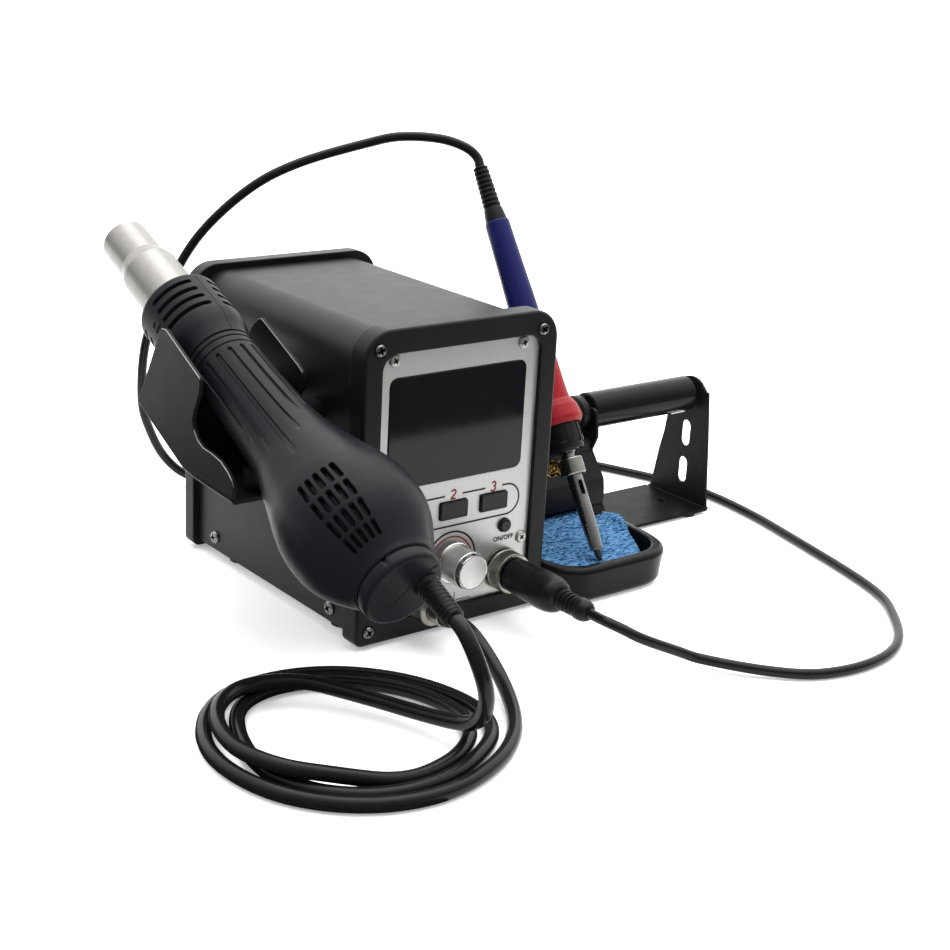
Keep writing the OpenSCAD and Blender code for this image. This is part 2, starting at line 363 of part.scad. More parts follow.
module gun_cradle() color([0.07, 0.07, 0.08]) F() difference() {
  union() {
    yz(wing_left, -108, -106);
    yz(wing_right, -62, -60);
    yz(floor_strip, -107, -61);
    difference() {
      union() { bx(-107, -65, 60, 62, 79, 118); bx(-98, -70, 18, 20, 75.4, 87); }
      G() gun_solid(0.3);
      G() translate([-60, -4, 0]) cube([120, 60, 300]);
    }
    for (p = [[40, 100], [62, 106]]) cx(p[0], p[1], 5, -60.5, -cw);
  }
  for (p = [[40, 100], [62, 106]]) cx(p[0], p[1], 2.05, -66, -40);
}
module cradle_screws() color([0.2, 0.2, 0.21]) F() for (p = [[40, 100], [62, 106]]) { cx(p[0], p[1], 3.8, -64, -62); cx(p[0], p[1], 2, -62.1, -cw + 5); cx(p[0], p[1], 3.6, -cw + sheet, -cw + sheet + 2.4); }

// ---- iron ----
module iron_tip() color([0.55, 0.55, 0.56]) F() I() rev([[0, 0], [0.7, 0], [0.95, 0.25], [2, 4.6], [2, 24], [0, 24]], 40);
module iron_barrel() color([0.62, 0.62, 0.63]) F() I() difference() {
  rev([[2.05, 5.6], [3.1, 5.6], [3.35, 9], [barrel_radius, 22], [barrel_radius, 51.7], [3.2, 51.9], [3.2, 54], [4.4, 54.2], [4.4, 55], [2.05, 55]], 48);
  rotate([0, 0, 262]) translate([barrel_radius, 0, 36.6]) cube([2.4, 1.8, 6.6], center = true);
}
module iron_nut() color([0.68, 0.66, 0.6]) F() I() difference() {
  translate([0, 0, 43]) cylinder(h = 8.7, r = nut_radius, $fn = 64);
  translate([0, 0, 42]) cylinder(h = 12, r = barrel_radius + 0.05, $fn = 48);
  for (i = [0:17]) rotate([0, 0, i * 20]) translate([nut_radius, 0, 43.9]) cylinder(h = 7, r = 0.45, $fn = 16);
}
module iron_nose() color([0.06, 0.06, 0.06]) F() I() rev([[0, 55], [6.2, 55], [6.4, 55.7], [6.4, 76], [5.5, 76], [5.5, 92], [0, 92]], 48);
module iron_grip() color([0.6, 0.1, 0.12]) F() I() rev([[6.4, 70.3], [9.8, 70.3], [9.9, 68.1], [10.6, 67.7], [12.1, 69.5], [12.5, 70.9], [11.5, 76.3], [10, 79.2], [9, 80.1], [8.7, 83.2], [8.6, 100], [8.5, 110.4], [7.9, 112], [5.5, 112], [5.5, 76], [6.4, 76]], 64);
module iron_handle() color([0.04, 0.06, 0.3]) F() I() rev([[0, 92], [5.5, 92], [5.5, 112], [7.6, 112], [7.4, 122], [7.2, 131], [6.9, 140], [6.3, 165], [6.1, 173], [5.8, 173.6], [0, 173.6]], 48);
module iron_relief() color([0.05, 0.05, 0.05]) F() I() rev(concat([[0, 173.6], [5.3, 173.6], [5.4, 174.3], [4.9, 178], [4.6, 180.4]], [for (k = [0:8]) each [[4.5 - k * 0.09, 180.8 + k * 2.4], [3.8 - k * 0.09, 181 + k * 2.4], [3.8 - k * 0.09, 181.9 + k * 2.4], [4.5 - k * 0.09, 182.1 + k * 2.4]]], [[3.75, 202.2], [3.5, 202.6], [0, 202.6]]), 40);
module iron_cord() color([0.05, 0.05, 0.05]) F() tube(iron_route, iron_cord_diameter / 2, 8);

// ---- stand ----
right_upright = [[51.9, 1.4], [52, 4.3], [52.4, 10.1], [53.2, 18.6], [55.1, 41.1], [57.8, 67.1], [59.3, 67.1], [61, 68.7], [63.5, 71.2], [66.2, 72.8], [69.3, 73.5], [72.3, 73.4], [76, 72.4], [79.5, 70], [82.5, 66.5], [84.3, 61], [85.8, 54], [87, 46.9], [88.3, 37.8], [91, 27], [93.4, 13.8], [94.4, 9.3], [95.5, 4.7], [96.1, 1.4]];
left_upright = concat([[52.5, 1.4], [52.5, 3], [56.7, 10.4], [48.8, 13.8], [48.8, 15.5], [51.7, 19.6], [51.4, 24.1], [51.6, 28], [52.4, 33.2], [55.2, 36.7], [57.8, 39.8], [62.6, 45.9], [60.6, 49.5], [58.7, 53.7], [59.3, 59], [61, 67.1], [63.5, 68.2], [66.2, 67.6]], [for (a = [180:15:360]) [72 + 5.8 * cos(a), 64 + 5.8 * sin(a)]], [[77.8, 67.6], [81, 67], [84, 62.5], [86, 56], [87, 45], [90, 28], [93, 11], [96.1, 3], [96.1, 1.4]]);
module slot(y, z0, z1, w) { bx(213, 218, y - w / 2, y + w / 2, z0 + w / 2, z1 - w / 2); cx(y, z0 + w / 2, w / 2, 213, 218); cx(y, z1 - w / 2, w / 2, 213, 218); }
module stand_frame() color([0.07, 0.07, 0.08]) F() difference() {
  union() {
    bx(134.8, 216.1, 50.5, 98, 1.4, 1.4 + stand_sheet);
    bx(60, 136, 60, 98, 1.4, 1.4 + stand_sheet);
    yz(right_upright, 216.1 - stand_sheet, 216.1);
    yz(left_upright, 135.7, 135.7 + stand_sheet);
  }
  slot(71.85, 33.45, 48.25, slot_width);
  slot(71.85, 12.25, 27.05, slot_width);
  yz([[85.2, 47.9], [73.8, 52.7], [74.6, 54.9], [85.2, 50.3]], 213, 218);
  cx(72, 64, 2.05, 213, 220);
  cz(201.7, 72.9, 1.8, 0, 5);
}
module wool_housing() color([0.07, 0.07, 0.08]) F() difference() {
  union() {
    yz([[60, 1.4 + stand_sheet], [60, 19.6], [51.7, 19.6], [51.4, 24.1], [51.6, 28], [52.4, 33.2], [55.2, 36.7], [57.8, 39.8], [62.6, 45.9], [62.6, 52], [95, 52], [95, 1.4 + stand_sheet]], 62, 135.7);
    yz([[51.7, 19.6], [48.8, 15.5], [48.8, 13.8], [60, 13.8], [60, 19.6]], 128.6, 135.7);
  }
  yz([[61.6, 4.6], [61.6, 21.2], [53.2, 21.2], [53, 24.1], [53.2, 28], [53.9, 32.4], [56.5, 35.7], [59.1, 38.8], [64.2, 45.3], [64.2, 50.4], [93.4, 50.4], [93.4, 4.6]], 63.6, 134.1);
  bx(92, 121, 50, 64.2, 37.8, 45.4);
}
module brass_wool() color([0.72, 0.55, 0.25]) F() yz([[63, 4.6], [63, 22.5], [54.6, 22.5], [54.6, 31], [60.5, 38.6], [66, 45.6], [66, 46.5], [91, 46.5], [91, 4.6]], 66, 131);
module iron_rest() color([0.06, 0.06, 0.07]) F() {
  I() difference() { translate([0, 0, 55.3]) cylinder(h = 14.7, r = 9.3, $fn = 64); translate([0, 0, 50]) cylinder(h = 30, r = rest_bore, $fn = 64); }
  difference() {
    yz([[31.2, 61.3], [37.1, 70.4], [52, 60.5], [66, 52], [62.6, 52], [62.6, 45.9], [57.8, 39.8], [52, 45]], 81.3, 89.3);
    I() translate([0, 0, 40]) cylinder(h = 60, r = 8.6, $fn = 64);
  }
}
module reel_roller() color([0.08, 0.08, 0.085]) F() difference() {
  union() { cx(72, 64, roller_radius, 138.4, 211.5, 64); cx(72, 64, 5.3, 134, 213.9); cx(72, 64, 9.1, 129.6, 134.8, 64); }
  cx(72, 64, 2.06, 128, 220);
}
module roller_axle() color([0.3, 0.3, 0.32]) F() { cx(72, 64, 2, 133, 217.6); cx(72, 64, 3.6, 216.1, 218.4); }
tray_outer = [[57, 4], [58.5, -3], [62.5, -8.8], [68, -12.3], [74, -13.4], [108, -13.4], [116, -12.3], [122, -9.4], [127, -4.4], [130, 1.6], [131.8, 10], [132.6, 20], [133.8, 40], [133.8, 45], [131, 48.4], [126.5, 48.4], [126.5, 60], [57, 60]];
tray_inner = [[60.5, 9], [61.8, 3], [65, -2.5], [69.5, -6.3], [75, -7.6], [108, -7.6], [113.5, -6.6], [118, -4.3], [122, -0.4], [124.8, 5], [126.4, 12], [127.4, 22], [128.6, 38], [128.6, 43], [127, 45.6], [124, 46], [124, 57.6], [60.5, 57.6]];
module sponge_tray() color([0.06, 0.06, 0.065]) F() difference() {
  translate([0, 0, 0.4]) linear_extrude(height = tray_height - 0.4) polygon(tray_outer);
  translate([0, 0, 0.4 + tray_wall]) linear_extrude(height = tray_height) polygon(tray_inner);
}
module sponge() color([0.25, 0.45, 0.75]) F() translate([0, 0, 0.4 + tray_wall]) linear_extrude(height = sponge_top - 0.4 - tray_wall) polygon([[61.2, 10], [62.8, 4], [66, -1.6], [70, -5.2], [75, -6.8], [109, -6.8], [111, -5.5], [124.4, 16], [126.6, 22], [127.7, 36], [126.5, 43.5], [123, 44.5], [123, 56.5], [61.2, 56.5]]);
module stand_feet() color([0.05, 0.05, 0.05]) F() { for (p = [[204, 56], [208, 90], [143, 57], [150, 90], [68, 90]]) cz(p[0], p[1], 5.3, 0, 1.4); for (p = [[74, -5], [112, -3], [66, 52], [118, 52]]) cz(p[0], p[1], 4, 0, 0.4); }

// ---- draw ----
cover_shell();
base_pan();
front_bezel();
rear_bezel();
rear_panel();
front_panel();
display_window();
display_module();
panel_screws();
front_bezel_screws();
rear_bezel_screws();
side_screws();
station_feet();
channel_button_1();
channel_button_2();
channel_button_3();
power_button();
air_knob();
knob_pot();
iron_socket();
plug_ring();
iron_plug();
hose_gland();
gland_relief();
transformer();
main_board();
mains_inlet();
main_switch();
main_rocker();
nozzle_tube();
heater_tube();
heater_core();
gun_head();
grip_shell_near();
grip_shell_far();
gun_tail_cap();
gun_relief();
gun_fan();
fan_motor();
gun_screws();
gun_hose();
gun_cradle();
cradle_screws();
iron_tip();
iron_barrel();
iron_nut();
iron_nose();
iron_grip();
iron_handle();
iron_relief();
iron_cord();
stand_frame();
wool_housing();
brass_wool();
iron_rest();
reel_roller();
roller_axle();
sponge_tray();
sponge();
stand_feet();
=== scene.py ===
import math
import random

import bmesh
import bpy
import numpy as np
from mathutils import Matrix, Vector, noise


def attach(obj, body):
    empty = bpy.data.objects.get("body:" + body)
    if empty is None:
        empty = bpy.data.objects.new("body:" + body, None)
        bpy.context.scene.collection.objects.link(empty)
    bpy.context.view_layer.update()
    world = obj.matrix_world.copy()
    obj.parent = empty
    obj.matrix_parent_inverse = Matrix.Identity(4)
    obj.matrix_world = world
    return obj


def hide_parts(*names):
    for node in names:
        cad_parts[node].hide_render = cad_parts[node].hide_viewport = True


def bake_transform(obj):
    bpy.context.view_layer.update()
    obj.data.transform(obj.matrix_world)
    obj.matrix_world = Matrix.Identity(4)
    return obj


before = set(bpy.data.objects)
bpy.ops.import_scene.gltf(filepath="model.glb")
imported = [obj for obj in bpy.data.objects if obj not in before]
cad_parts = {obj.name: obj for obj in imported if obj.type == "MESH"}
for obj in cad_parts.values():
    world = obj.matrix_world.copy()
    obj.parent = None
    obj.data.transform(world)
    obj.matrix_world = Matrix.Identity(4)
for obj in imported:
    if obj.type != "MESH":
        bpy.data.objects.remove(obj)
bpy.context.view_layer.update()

SX, SY = -52.3, -28.7
ROW = Matrix.Scale(0.001, 4) @ Matrix.Translation((SX, SY, 0))


def P(x, y, z):
    return Vector(((x + SX) / 1000, (y + SY) / 1000, z / 1000))


# ------------------------------------------------------------------ camera
def make_camera():
    az, el, roll = math.radians(39.01), math.radians(18.64), math.radians(3.21)
    d = Vector((-math.sin(az) * math.cos(el), -math.cos(az) * math.cos(el), math.sin(el)))
    c = Vector((8.786, 0, 71.886)) + 753.75 * d
    fwd = -d
    r0 = fwd.cross(Vector((0, 0, 1))).normalized()
    u0 = r0.cross(fwd)
    r = math.cos(roll) * r0 + math.sin(roll) * u0
    u = -math.sin(roll) * r0 + math.cos(roll) * u0
    cam = bpy.data.cameras.new("camera")
    cam.lens = 64.43
    cam.sensor_width = 36
    cam.sensor_fit = "HORIZONTAL"
    cam.clip_start = 0.01
    cam.clip_end = 50
    o = bpy.data.objects.new("camera", cam)
    bpy.context.scene.collection.objects.link(o)
    m = Matrix((r, u, -fwd)).transposed().to_4x4()
    m.translation = P(*c)
    o.matrix_world = m
    bpy.context.scene.camera = o
    return o


make_camera()


# ------------------------------------------------------------------ materials
def nodes_of(m):
    return m.node_tree.nodes, m.node_tree.links


def mat(name, color, rough=0.5, metal=0.0, var=0.06, vscale=60, rvar=0.06, rscale=120, bump=0.0, bscale=800,
        bdetail=2.0, bdist=0.0003, kind="noise", stretch=None, coat=0.0, coat_rough=0.1, spec=0.5, fine=None, dark=None, sheen=0.0):
    """A procedural surface: colour and roughness vary with soft noise, and a fine bump gives the grain."""
    m = bpy.data.materials.new(name)
    m.use_nodes = True
    n, l = nodes_of(m)
    b = n["Principled BSDF"]
    b.inputs["Metallic"].default_value = metal
    b.inputs["Specular IOR Level"].default_value = spec
    b.inputs["Coat Weight"].default_value = coat
    b.inputs["Coat Roughness"].default_value = coat_rough
    b.inputs["Sheen Weight"].default_value = sheen
    tc = n.new("ShaderNodeTexCoord")
    src = tc.outputs["Object"]
    if stretch:
        mp = n.new("ShaderNodeMapping")
        mp.inputs["Scale"].default_value = stretch
        l.new(src, mp.inputs["Vector"])
        ssrc = mp.outputs["Vector"]
    else:
        ssrc = src
    t = n.new("ShaderNodeTexNoise")
    t.inputs["Scale"].default_value = vscale
    t.inputs["Detail"].default_value = 4
    l.new(ssrc if stretch else src, t.inputs["Vector"])
    r = n.new("ShaderNodeValToRGB")
    c = Vector(color[:3])
    lo = dark if dark is not None else [max(0.0, x * (1 - var * 2)) for x in c]
    hi = [min(1.0, x * (1 + var * 2)) for x in c]
    r.color_ramp.elements[0].position = 0.3
    r.color_ramp.elements[1].position = 0.7
    r.color_ramp.elements[0].color = (*lo, 1)
    r.color_ramp.elements[1].color = (*hi, 1)
    l.new(t.outputs["Fac"], r.inputs["Fac"])
    l.new(r.outputs["Color"], b.inputs["Base Color"])
    t2 = n.new("ShaderNodeTexNoise")
    t2.inputs["Scale"].default_value = rscale
    t2.inputs["Detail"].default_value = 3
    l.new(ssrc if stretch else src, t2.inputs["Vector"])
    mr = n.new("ShaderNodeMapRange")
    mr.inputs["From Min"].default_value = 0.3
    mr.inputs["From Max"].default_value = 0.7
    mr.inputs["To Min"].default_value = max(0.02, rough - rvar)
    mr.inputs["To Max"].default_value = min(1.0, rough + rvar)
    l.new(t2.outputs["Fac"], mr.inputs["Value"])
    l.new(mr.outputs["Result"], b.inputs["Roughness"])
    if bump > 0:
        if kind == "voronoi":
            bt = n.new("ShaderNodeTexVoronoi")
            bt.inputs["Scale"].default_value = bscale
            out = bt.outputs["Distance"]
        else:
            bt = n.new("ShaderNodeTexNoise")
            bt.inputs["Scale"].default_value = bscale
            bt.inputs["Detail"].default_value = bdetail
            out = bt.outputs["Fac"]
        l.new(ssrc if (stretch and kind == "brushed") else src, bt.inputs["Vector"])
        bp = n.new("ShaderNodeBump")
        bp.inputs["Strength"].default_value = bump
        bp.inputs["Distance"].default_value = bdist
        l.new(out, bp.inputs["Height"])
        l.new(bp.outputs["Normal"], b.inputs["Normal"])
    return m


MATS = {}


def MT(key, **kw):
    if key not in MATS:
        MATS[key] = mat(key, **kw)
    return MATS[key]


powder = MT("powder_black", color=(0.0064, 0.0064, 0.007), rough=0.4, rvar=0.02, var=0.04, vscale=900, bump=0.3, bscale=1500, bdist=0.00005, spec=0.15)
powder_bezel = MT("powder_bezel", color=(0.0064, 0.0064, 0.007), rough=0.38, rvar=0.02, var=0.04, vscale=900, bump=0.35, bscale=1300, bdist=0.00005, spec=0.12)
stand_black = MT("stand_black", color=(0.0064, 0.0067, 0.0082), rough=0.46, rvar=0.03, var=0.05, vscale=700, bump=0.3, bscale=1400, bdist=0.00005, spec=0.1)
silver = MT("panel_silver", color=(0.405, 0.4, 0.392), rough=0.36, metal=0.7, var=0.015, vscale=900, rvar=0.03, rscale=1200, bump=0.06, bscale=1500, bdist=0.00003, kind="brushed", stretch=(1.0, 1.0, 0.05))
print_black = MT("print_black", color=(0.005, 0.005, 0.006), rough=0.4, var=0.1, vscale=300, spec=0.2)
print_red = MT("print_red", color=(0.15, 0.005, 0.012), rough=0.42, var=0.1, vscale=300, spec=0.2)
screen = MT("screen_gloss", color=(0.0058, 0.006, 0.0067), rough=0.07, rvar=0.02, var=0.05, vscale=25, spec=0.17)
button_m = MT("button_black", color=(0.006, 0.006, 0.007), rough=0.24, rvar=0.03, var=0.06, vscale=400, bump=0.1, bscale=900, bdist=0.00004, spec=0.2)
gun_m = MT("gun_plastic", color=(0.0066, 0.0073, 0.0096), rough=0.38, rvar=0.03, var=0.08, vscale=1500, bump=0.2, bscale=1000, bdist=0.00005, kind="noise", spec=0.095)
# painted shade: a darker plastic for the floors of the slots and vents, standing in for the shaded interior
slot_floor_shade = MT("slot_floor_painted_shade", color=(0.0045, 0.0048, 0.0058), rough=0.5, var=0.1, vscale=100, spec=0.12)
rubber = MT("rubber_black", color=(0.006, 0.006, 0.0068), rough=0.36, rvar=0.04, var=0.08, vscale=300, bump=0.2, bscale=900, bdist=0.00005, spec=0.12)
cord_m = MT("cord_black", color=(0.006, 0.006, 0.007), rough=0.23, rvar=0.02, var=0.08, vscale=200, bump=0.15, bscale=700, bdist=0.00006, spec=0.15)
roller_black = MT("roller_black", color=(0.005, 0.0052, 0.0062), rough=0.2, rvar=0.02, var=0.06, vscale=300, bump=0.05, bscale=900, bdist=0.00004, spec=0.095)
plastic = MT("plastic_black", color=(0.0065, 0.0065, 0.0075), rough=0.32, rvar=0.04, var=0.08, vscale=300, bump=0.12, bscale=1200, bdist=0.00004, spec=0.13)
tray_black = MT("tray_black", color=(0.0052, 0.0054, 0.0064), rough=0.25, rvar=0.015, var=0.06, vscale=300, bump=0.03, bscale=900, bdist=0.00004, spec=0.08)
chrome = MT("screw_steel", color=(0.36, 0.352, 0.335), rough=0.36, metal=1.0, var=0.05, vscale=600, rvar=0.05, bump=0.1, bscale=900, bdist=0.00003)
side_steel = MT("side_screw_steel", color=(0.2, 0.2, 0.2), rough=0.28, metal=1.0, var=0.08, vscale=600, rvar=0.06, bump=0.15, bscale=900, bdist=0.00003)
black_screw = MT("screw_black", color=(0.13, 0.13, 0.14), rough=0.18, metal=0.9, var=0.1, vscale=300, rvar=0.05, bump=0.1, bscale=900, bdist=0.00003)
# painted shade: a darker copy of the stand sheet's finish for the base plate
base_painted_shade = MT("base_painted_shade", color=(0.0045, 0.0047, 0.0056), rough=0.46, rvar=0.03, var=0.05, vscale=700, bump=0.3, bscale=1400, bdist=0.00005, spec=0.06)
zinc = MT("zinc", color=(0.4, 0.41, 0.43), rough=0.4, metal=1.0, var=0.1, vscale=80, bump=0.1, bscale=500, bdist=0.00005)
board = MT("board_green", color=(0.015, 0.11, 0.05), rough=0.4, var=0.2, vscale=150, coat=0.3)
ceramic = MT("ceramic", color=(0.62, 0.59, 0.52), rough=0.7, var=0.06, vscale=100, bump=0.2, bscale=700, bdist=0.0001)
red_sil = MT("silicone_red", color=(0.235, 0.0072, 0.0118), rough=0.45, rvar=0.04, var=0.04, vscale=400, bump=0.2, bscale=1100, bdist=0.00005, sheen=0.03, spec=0.13)
blue = MT("handle_blue", color=(0.0072, 0.009, 0.075), rough=0.28, rvar=0.03, var=0.06, vscale=300, bump=0.12, bscale=1000, bdist=0.00004, spec=0.13)
core = MT("core_iron", color=(0.2, 0.19, 0.18), rough=0.6, metal=0.6, var=0.15, vscale=200, bump=0.3, bscale=500, bdist=0.0001)
red_rocker = MT("rocker_red", color=(0.4, 0.015, 0.012), rough=0.28, var=0.06, vscale=100, coat=0.2)
brass = MT("brass_wool", color=(0.42, 0.31, 0.11), rough=0.26, metal=1.0, var=0.15, vscale=300, rvar=0.1)


def spun(m, axis, center, freq=2600.0, bump=0.12, aniso=0.75, rough=0.24, rspan=0.09, dist=0.00003):
    """Turned finish round an axis: fine rings in height and roughness, and a highlight drawn along the turning."""
    n, l = nodes_of(m)
    b = n["Principled BSDF"]
    tc = n.new("ShaderNodeTexCoord")
    sub = n.new("ShaderNodeVectorMath")
    sub.operation = "SUBTRACT"
    sub.inputs[1].default_value = tuple(center)
    l.new(tc.outputs["Object"], sub.inputs[0])
    cr = n.new("ShaderNodeVectorMath")
    cr.operation = "CROSS_PRODUCT"
    cr.inputs[0].default_value = tuple(axis)
    l.new(sub.outputs["Vector"], cr.inputs[1])
    no = n.new("ShaderNodeVectorMath")
    no.operation = "NORMALIZE"
    l.new(cr.outputs["Vector"], no.inputs[0])
    l.new(no.outputs["Vector"], b.inputs["Tangent"])
    b.inputs["Anisotropic"].default_value = aniso
    ln = n.new("ShaderNodeVectorMath")
    ln.operation = "LENGTH"
    l.new(cr.outputs["Vector"], ln.inputs[0])
    dt = n.new("ShaderNodeVectorMath")
    dt.operation = "DOT_PRODUCT"
    dt.inputs[1].default_value = tuple(axis)
    l.new(sub.outputs["Vector"], dt.inputs[0])
    cb = n.new("ShaderNodeCombineXYZ")
    l.new(ln.outputs["Value"], cb.inputs["X"])
    l.new(dt.outputs["Value"], cb.inputs["Y"])
    nz = n.new("ShaderNodeTexNoise")
    nz.inputs["Scale"].default_value = freq
    nz.inputs["Detail"].default_value = 3
    l.new(cb.outputs["Vector"], nz.inputs["Vector"])
    bp = n.new("ShaderNodeBump")
    bp.inputs["Strength"].default_value = bump
    bp.inputs["Distance"].default_value = dist
    l.new(nz.outputs["Fac"], bp.inputs["Height"])
    l.new(bp.outputs["Normal"], b.inputs["Normal"])
    mr = n.new("ShaderNodeMapRange")
    mr.inputs["From Min"].default_value = 0.3
    mr.inputs["From Max"].default_value = 0.7
    mr.inputs["To Min"].default_value = rough - rspan
    mr.inputs["To Max"].default_value = rough + rspan
    l.new(nz.outputs["Fac"], mr.inputs["Value"])
    l.new(mr.outputs["Result"], b.inputs["Roughness"])
    return m


TILT = math.radians(22.155)
LEAN = math.radians(32.3)
G = Matrix.Translation((-84, 150.3, 156.1)) @ Matrix.Rotation(math.pi / 2 + TILT, 4, "X")
I = Matrix.Translation((85.3, -4.4, 17)) @ Matrix.Rotation(-LEAN, 4, "X")
GA = (G.to_3x3() @ Vector((0, 0, 1))).normalized()
IA = (I.to_3x3() @ Vector((0, 0, 1))).normalized()
GC = P(*G.translation)
IC = P(*I.translation)
knob_m = spun(MT("knob_aluminium", color=(0.55, 0.545, 0.53), rough=0.3, metal=0.55, var=0.01, vscale=300), (0, 1, 0), P(-1, 0, 32.2), freq=5200, bump=0.05, aniso=0.55, rough=0.36, rspan=0.05)
knob_side = MT("knob_side", color=(0.78, 0.77, 0.75), rough=0.34, metal=1.0, var=0.03, vscale=400, rvar=0.03, bump=0.06, bscale=1200, bdist=0.00003)
knob_edge = MT("knob_edge", color=(0.4, 0.395, 0.385), rough=0.14, metal=1.0, var=0.03, vscale=300, rvar=0.03)
# painted reflection: the skirt's metal is darker than the knob side to stand in for the dark gun tail it mirrors
knob_skirt_painted_shade = MT("knob_skirt", color=(0.55, 0.54, 0.53), rough=0.2, metal=1.0, var=0.05, vscale=300, rvar=0.03)
nickel = MT("nickel", color=(0.23, 0.224, 0.2), rough=0.26, metal=1.0, var=0.04, vscale=500, rvar=0.05, bump=0.1, bscale=900, bdist=0.00003)
steel = spun(MT("nozzle_steel", color=(0.225, 0.217, 0.206), rough=0.3, metal=1.0, var=0.02, vscale=300), GA, GC, freq=700, bump=0.02, aniso=0.3, rough=0.34, rspan=0.04)
iron_metal = spun(MT("barrel_steel", color=(0.23, 0.227, 0.22), rough=0.3, metal=1.0, var=0.05, vscale=260), IA, IC, freq=900, bump=0.015, aniso=0.2, rough=0.25, rspan=0.03)
tip_metal = MT("tip_steel", color=(0.085, 0.085, 0.088), rough=0.22, metal=1.0, var=0.06, vscale=500, rvar=0.03, bump=0.04, bscale=900, bdist=0.00003)


def sponge_material():
    m = bpy.data.materials.new("sponge_blue")
    m.use_nodes = True
    n, l = nodes_of(m)
    b = n["Principled BSDF"]
    b.inputs["Roughness"].default_value = 0.95
    b.inputs["Specular IOR Level"].default_value = 0.1
    tc = n.new("ShaderNodeTexCoord")
    mp = n.new("ShaderNodeMapping")
    mp.inputs["Rotation"].default_value = (0, 0, math.radians(38))
    mp.inputs["Scale"].default_value = (0.5, 1.25, 1.0)
    l.new(tc.outputs["Object"], mp.inputs["Vector"])

    def nzn(scale, detail, rough, dist=0.0):
        t = n.new("ShaderNodeTexNoise")
        t.inputs["Scale"].default_value = scale
        t.inputs["Detail"].default_value = detail
        t.inputs["Roughness"].default_value = rough
        t.inputs["Distortion"].default_value = dist
        l.new(mp.outputs["Vector"], t.inputs["Vector"])
        return t

    pit_depth_and_shade = nzn(720, 2.5, 0.55, 0.5)
    soft = nzn(1500, 3, 0.6)
    # painted shade: the pit noise that sinks the bump also darkens the colour to deep blue in the pits
    r = n.new("ShaderNodeValToRGB")
    r.color_ramp.elements[0].position = 0.37
    r.color_ramp.elements[0].color = (0.003, 0.03, 0.1, 1)
    r.color_ramp.elements[1].position = 0.65
    r.color_ramp.elements[1].color = (0.122, 0.262, 0.425, 1)
    for ps, cc in ((0.43, (0.02, 0.085, 0.2, 1)), (0.49, (0.068, 0.175, 0.325, 1))):
        e = r.color_ramp.elements.new(ps)
        e.color = cc
    l.new(pit_depth_and_shade.outputs["Fac"], r.inputs["Fac"])
    mx = n.new("ShaderNodeMix")
    mx.data_type = "RGBA"
    mx.blend_type = "MULTIPLY"
    mx.inputs["Factor"].default_value = 0.55
    r2 = n.new("ShaderNodeValToRGB")
    r2.color_ramp.elements[0].position = 0.32
    r2.color_ramp.elements[0].color = (0.55, 0.62, 0.72, 1)
    r2.color_ramp.elements[1].position = 0.6
    r2.color_ramp.elements[1].color = (1, 1, 1, 1)
    l.new(soft.outputs["Fac"], r2.inputs["Fac"])
    l.new(r.outputs["Color"], mx.inputs["A"])
    l.new(r2.outputs["Color"], mx.inputs["B"])
    l.new(mx.outputs["Result"], b.inputs["Base Color"])
    ad = n.new("ShaderNodeMath")
    ad.operation = "MULTIPLY_ADD"
    ad.inputs[1].default_value = 0.35
    l.new(soft.outputs["Fac"], ad.inputs[0])
    l.new(pit_depth_and_shade.outputs["Fac"], ad.inputs[2])
    bp = n.new("ShaderNodeBump")
    bp.inputs["Strength"].default_value = 0.8
    bp.inputs["Distance"].default_value = 0.0008
    l.new(ad.outputs["Value"], bp.inputs["Height"])
    l.new(bp.outputs["Normal"], b.inputs["Normal"])
    return m


sponge_m = sponge_material()


# ------------------------------------------------------------------ mesh helpers
def make(name, bm, material, body, local=None, angle=38, replaces=(), weighted=True, merge=0.0):
    """Turns a bmesh in millimetres of the photo frame (after local) into a piece."""
    if merge:
        bmesh.ops.remove_doubles(bm, verts=bm.verts, dist=merge)
    bm.transform(ROW @ (local if local is not None else Matrix.Identity(4)))
    bmesh.ops.recalc_face_normals(bm, faces=bm.faces)
    thr = math.radians(angle)
    for f in bm.faces:
        f.smooth = True
    for e in bm.edges:
        if len(e.link_faces) == 2:
            e.smooth = e.calc_face_angle(0) < thr
        else:
            e.smooth = True
    me = bpy.data.meshes.new(name)
    bm.to_mesh(me)
    bm.free()
    for mm in material if isinstance(material, (list, tuple)) else [material]:
        me.materials.append(mm)
    o = bpy.data.objects.new(name, me)
    bpy.context.scene.collection.objects.link(o)
    if weighted:
        w = o.modifiers.new("normals", "WEIGHTED_NORMAL")
        w.keep_sharp = True
        w.weight = 50
    if body:
        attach(o, body)
    if replaces:
        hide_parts(*replaces)
    return o


def loft(bm, rings, closed=False, cap0=False, cap1=False, wrap=True, mi=0):
    """Skins rings (lists of 3-vectors with equal counts)."""
    vs = [[bm.verts.new(p) for p in r] for r in rings]
    n = len(vs[0])
    k = len(vs)
    for i in range(k if closed else k - 1):
        a, b = vs[i], vs[(i + 1) % k]
        for j in range(n if wrap else n - 1):
            f = bm.faces.new((a[j], a[(j + 1) % n], b[(j + 1) % n], b[j]))
            f.material_index = mi
    if cap0:
        f = bm.faces.new(list(reversed(vs[0])))
        f.material_index = mi
    if cap1:
        f = bm.faces.new(vs[-1])
        f.material_index = mi
    return vs


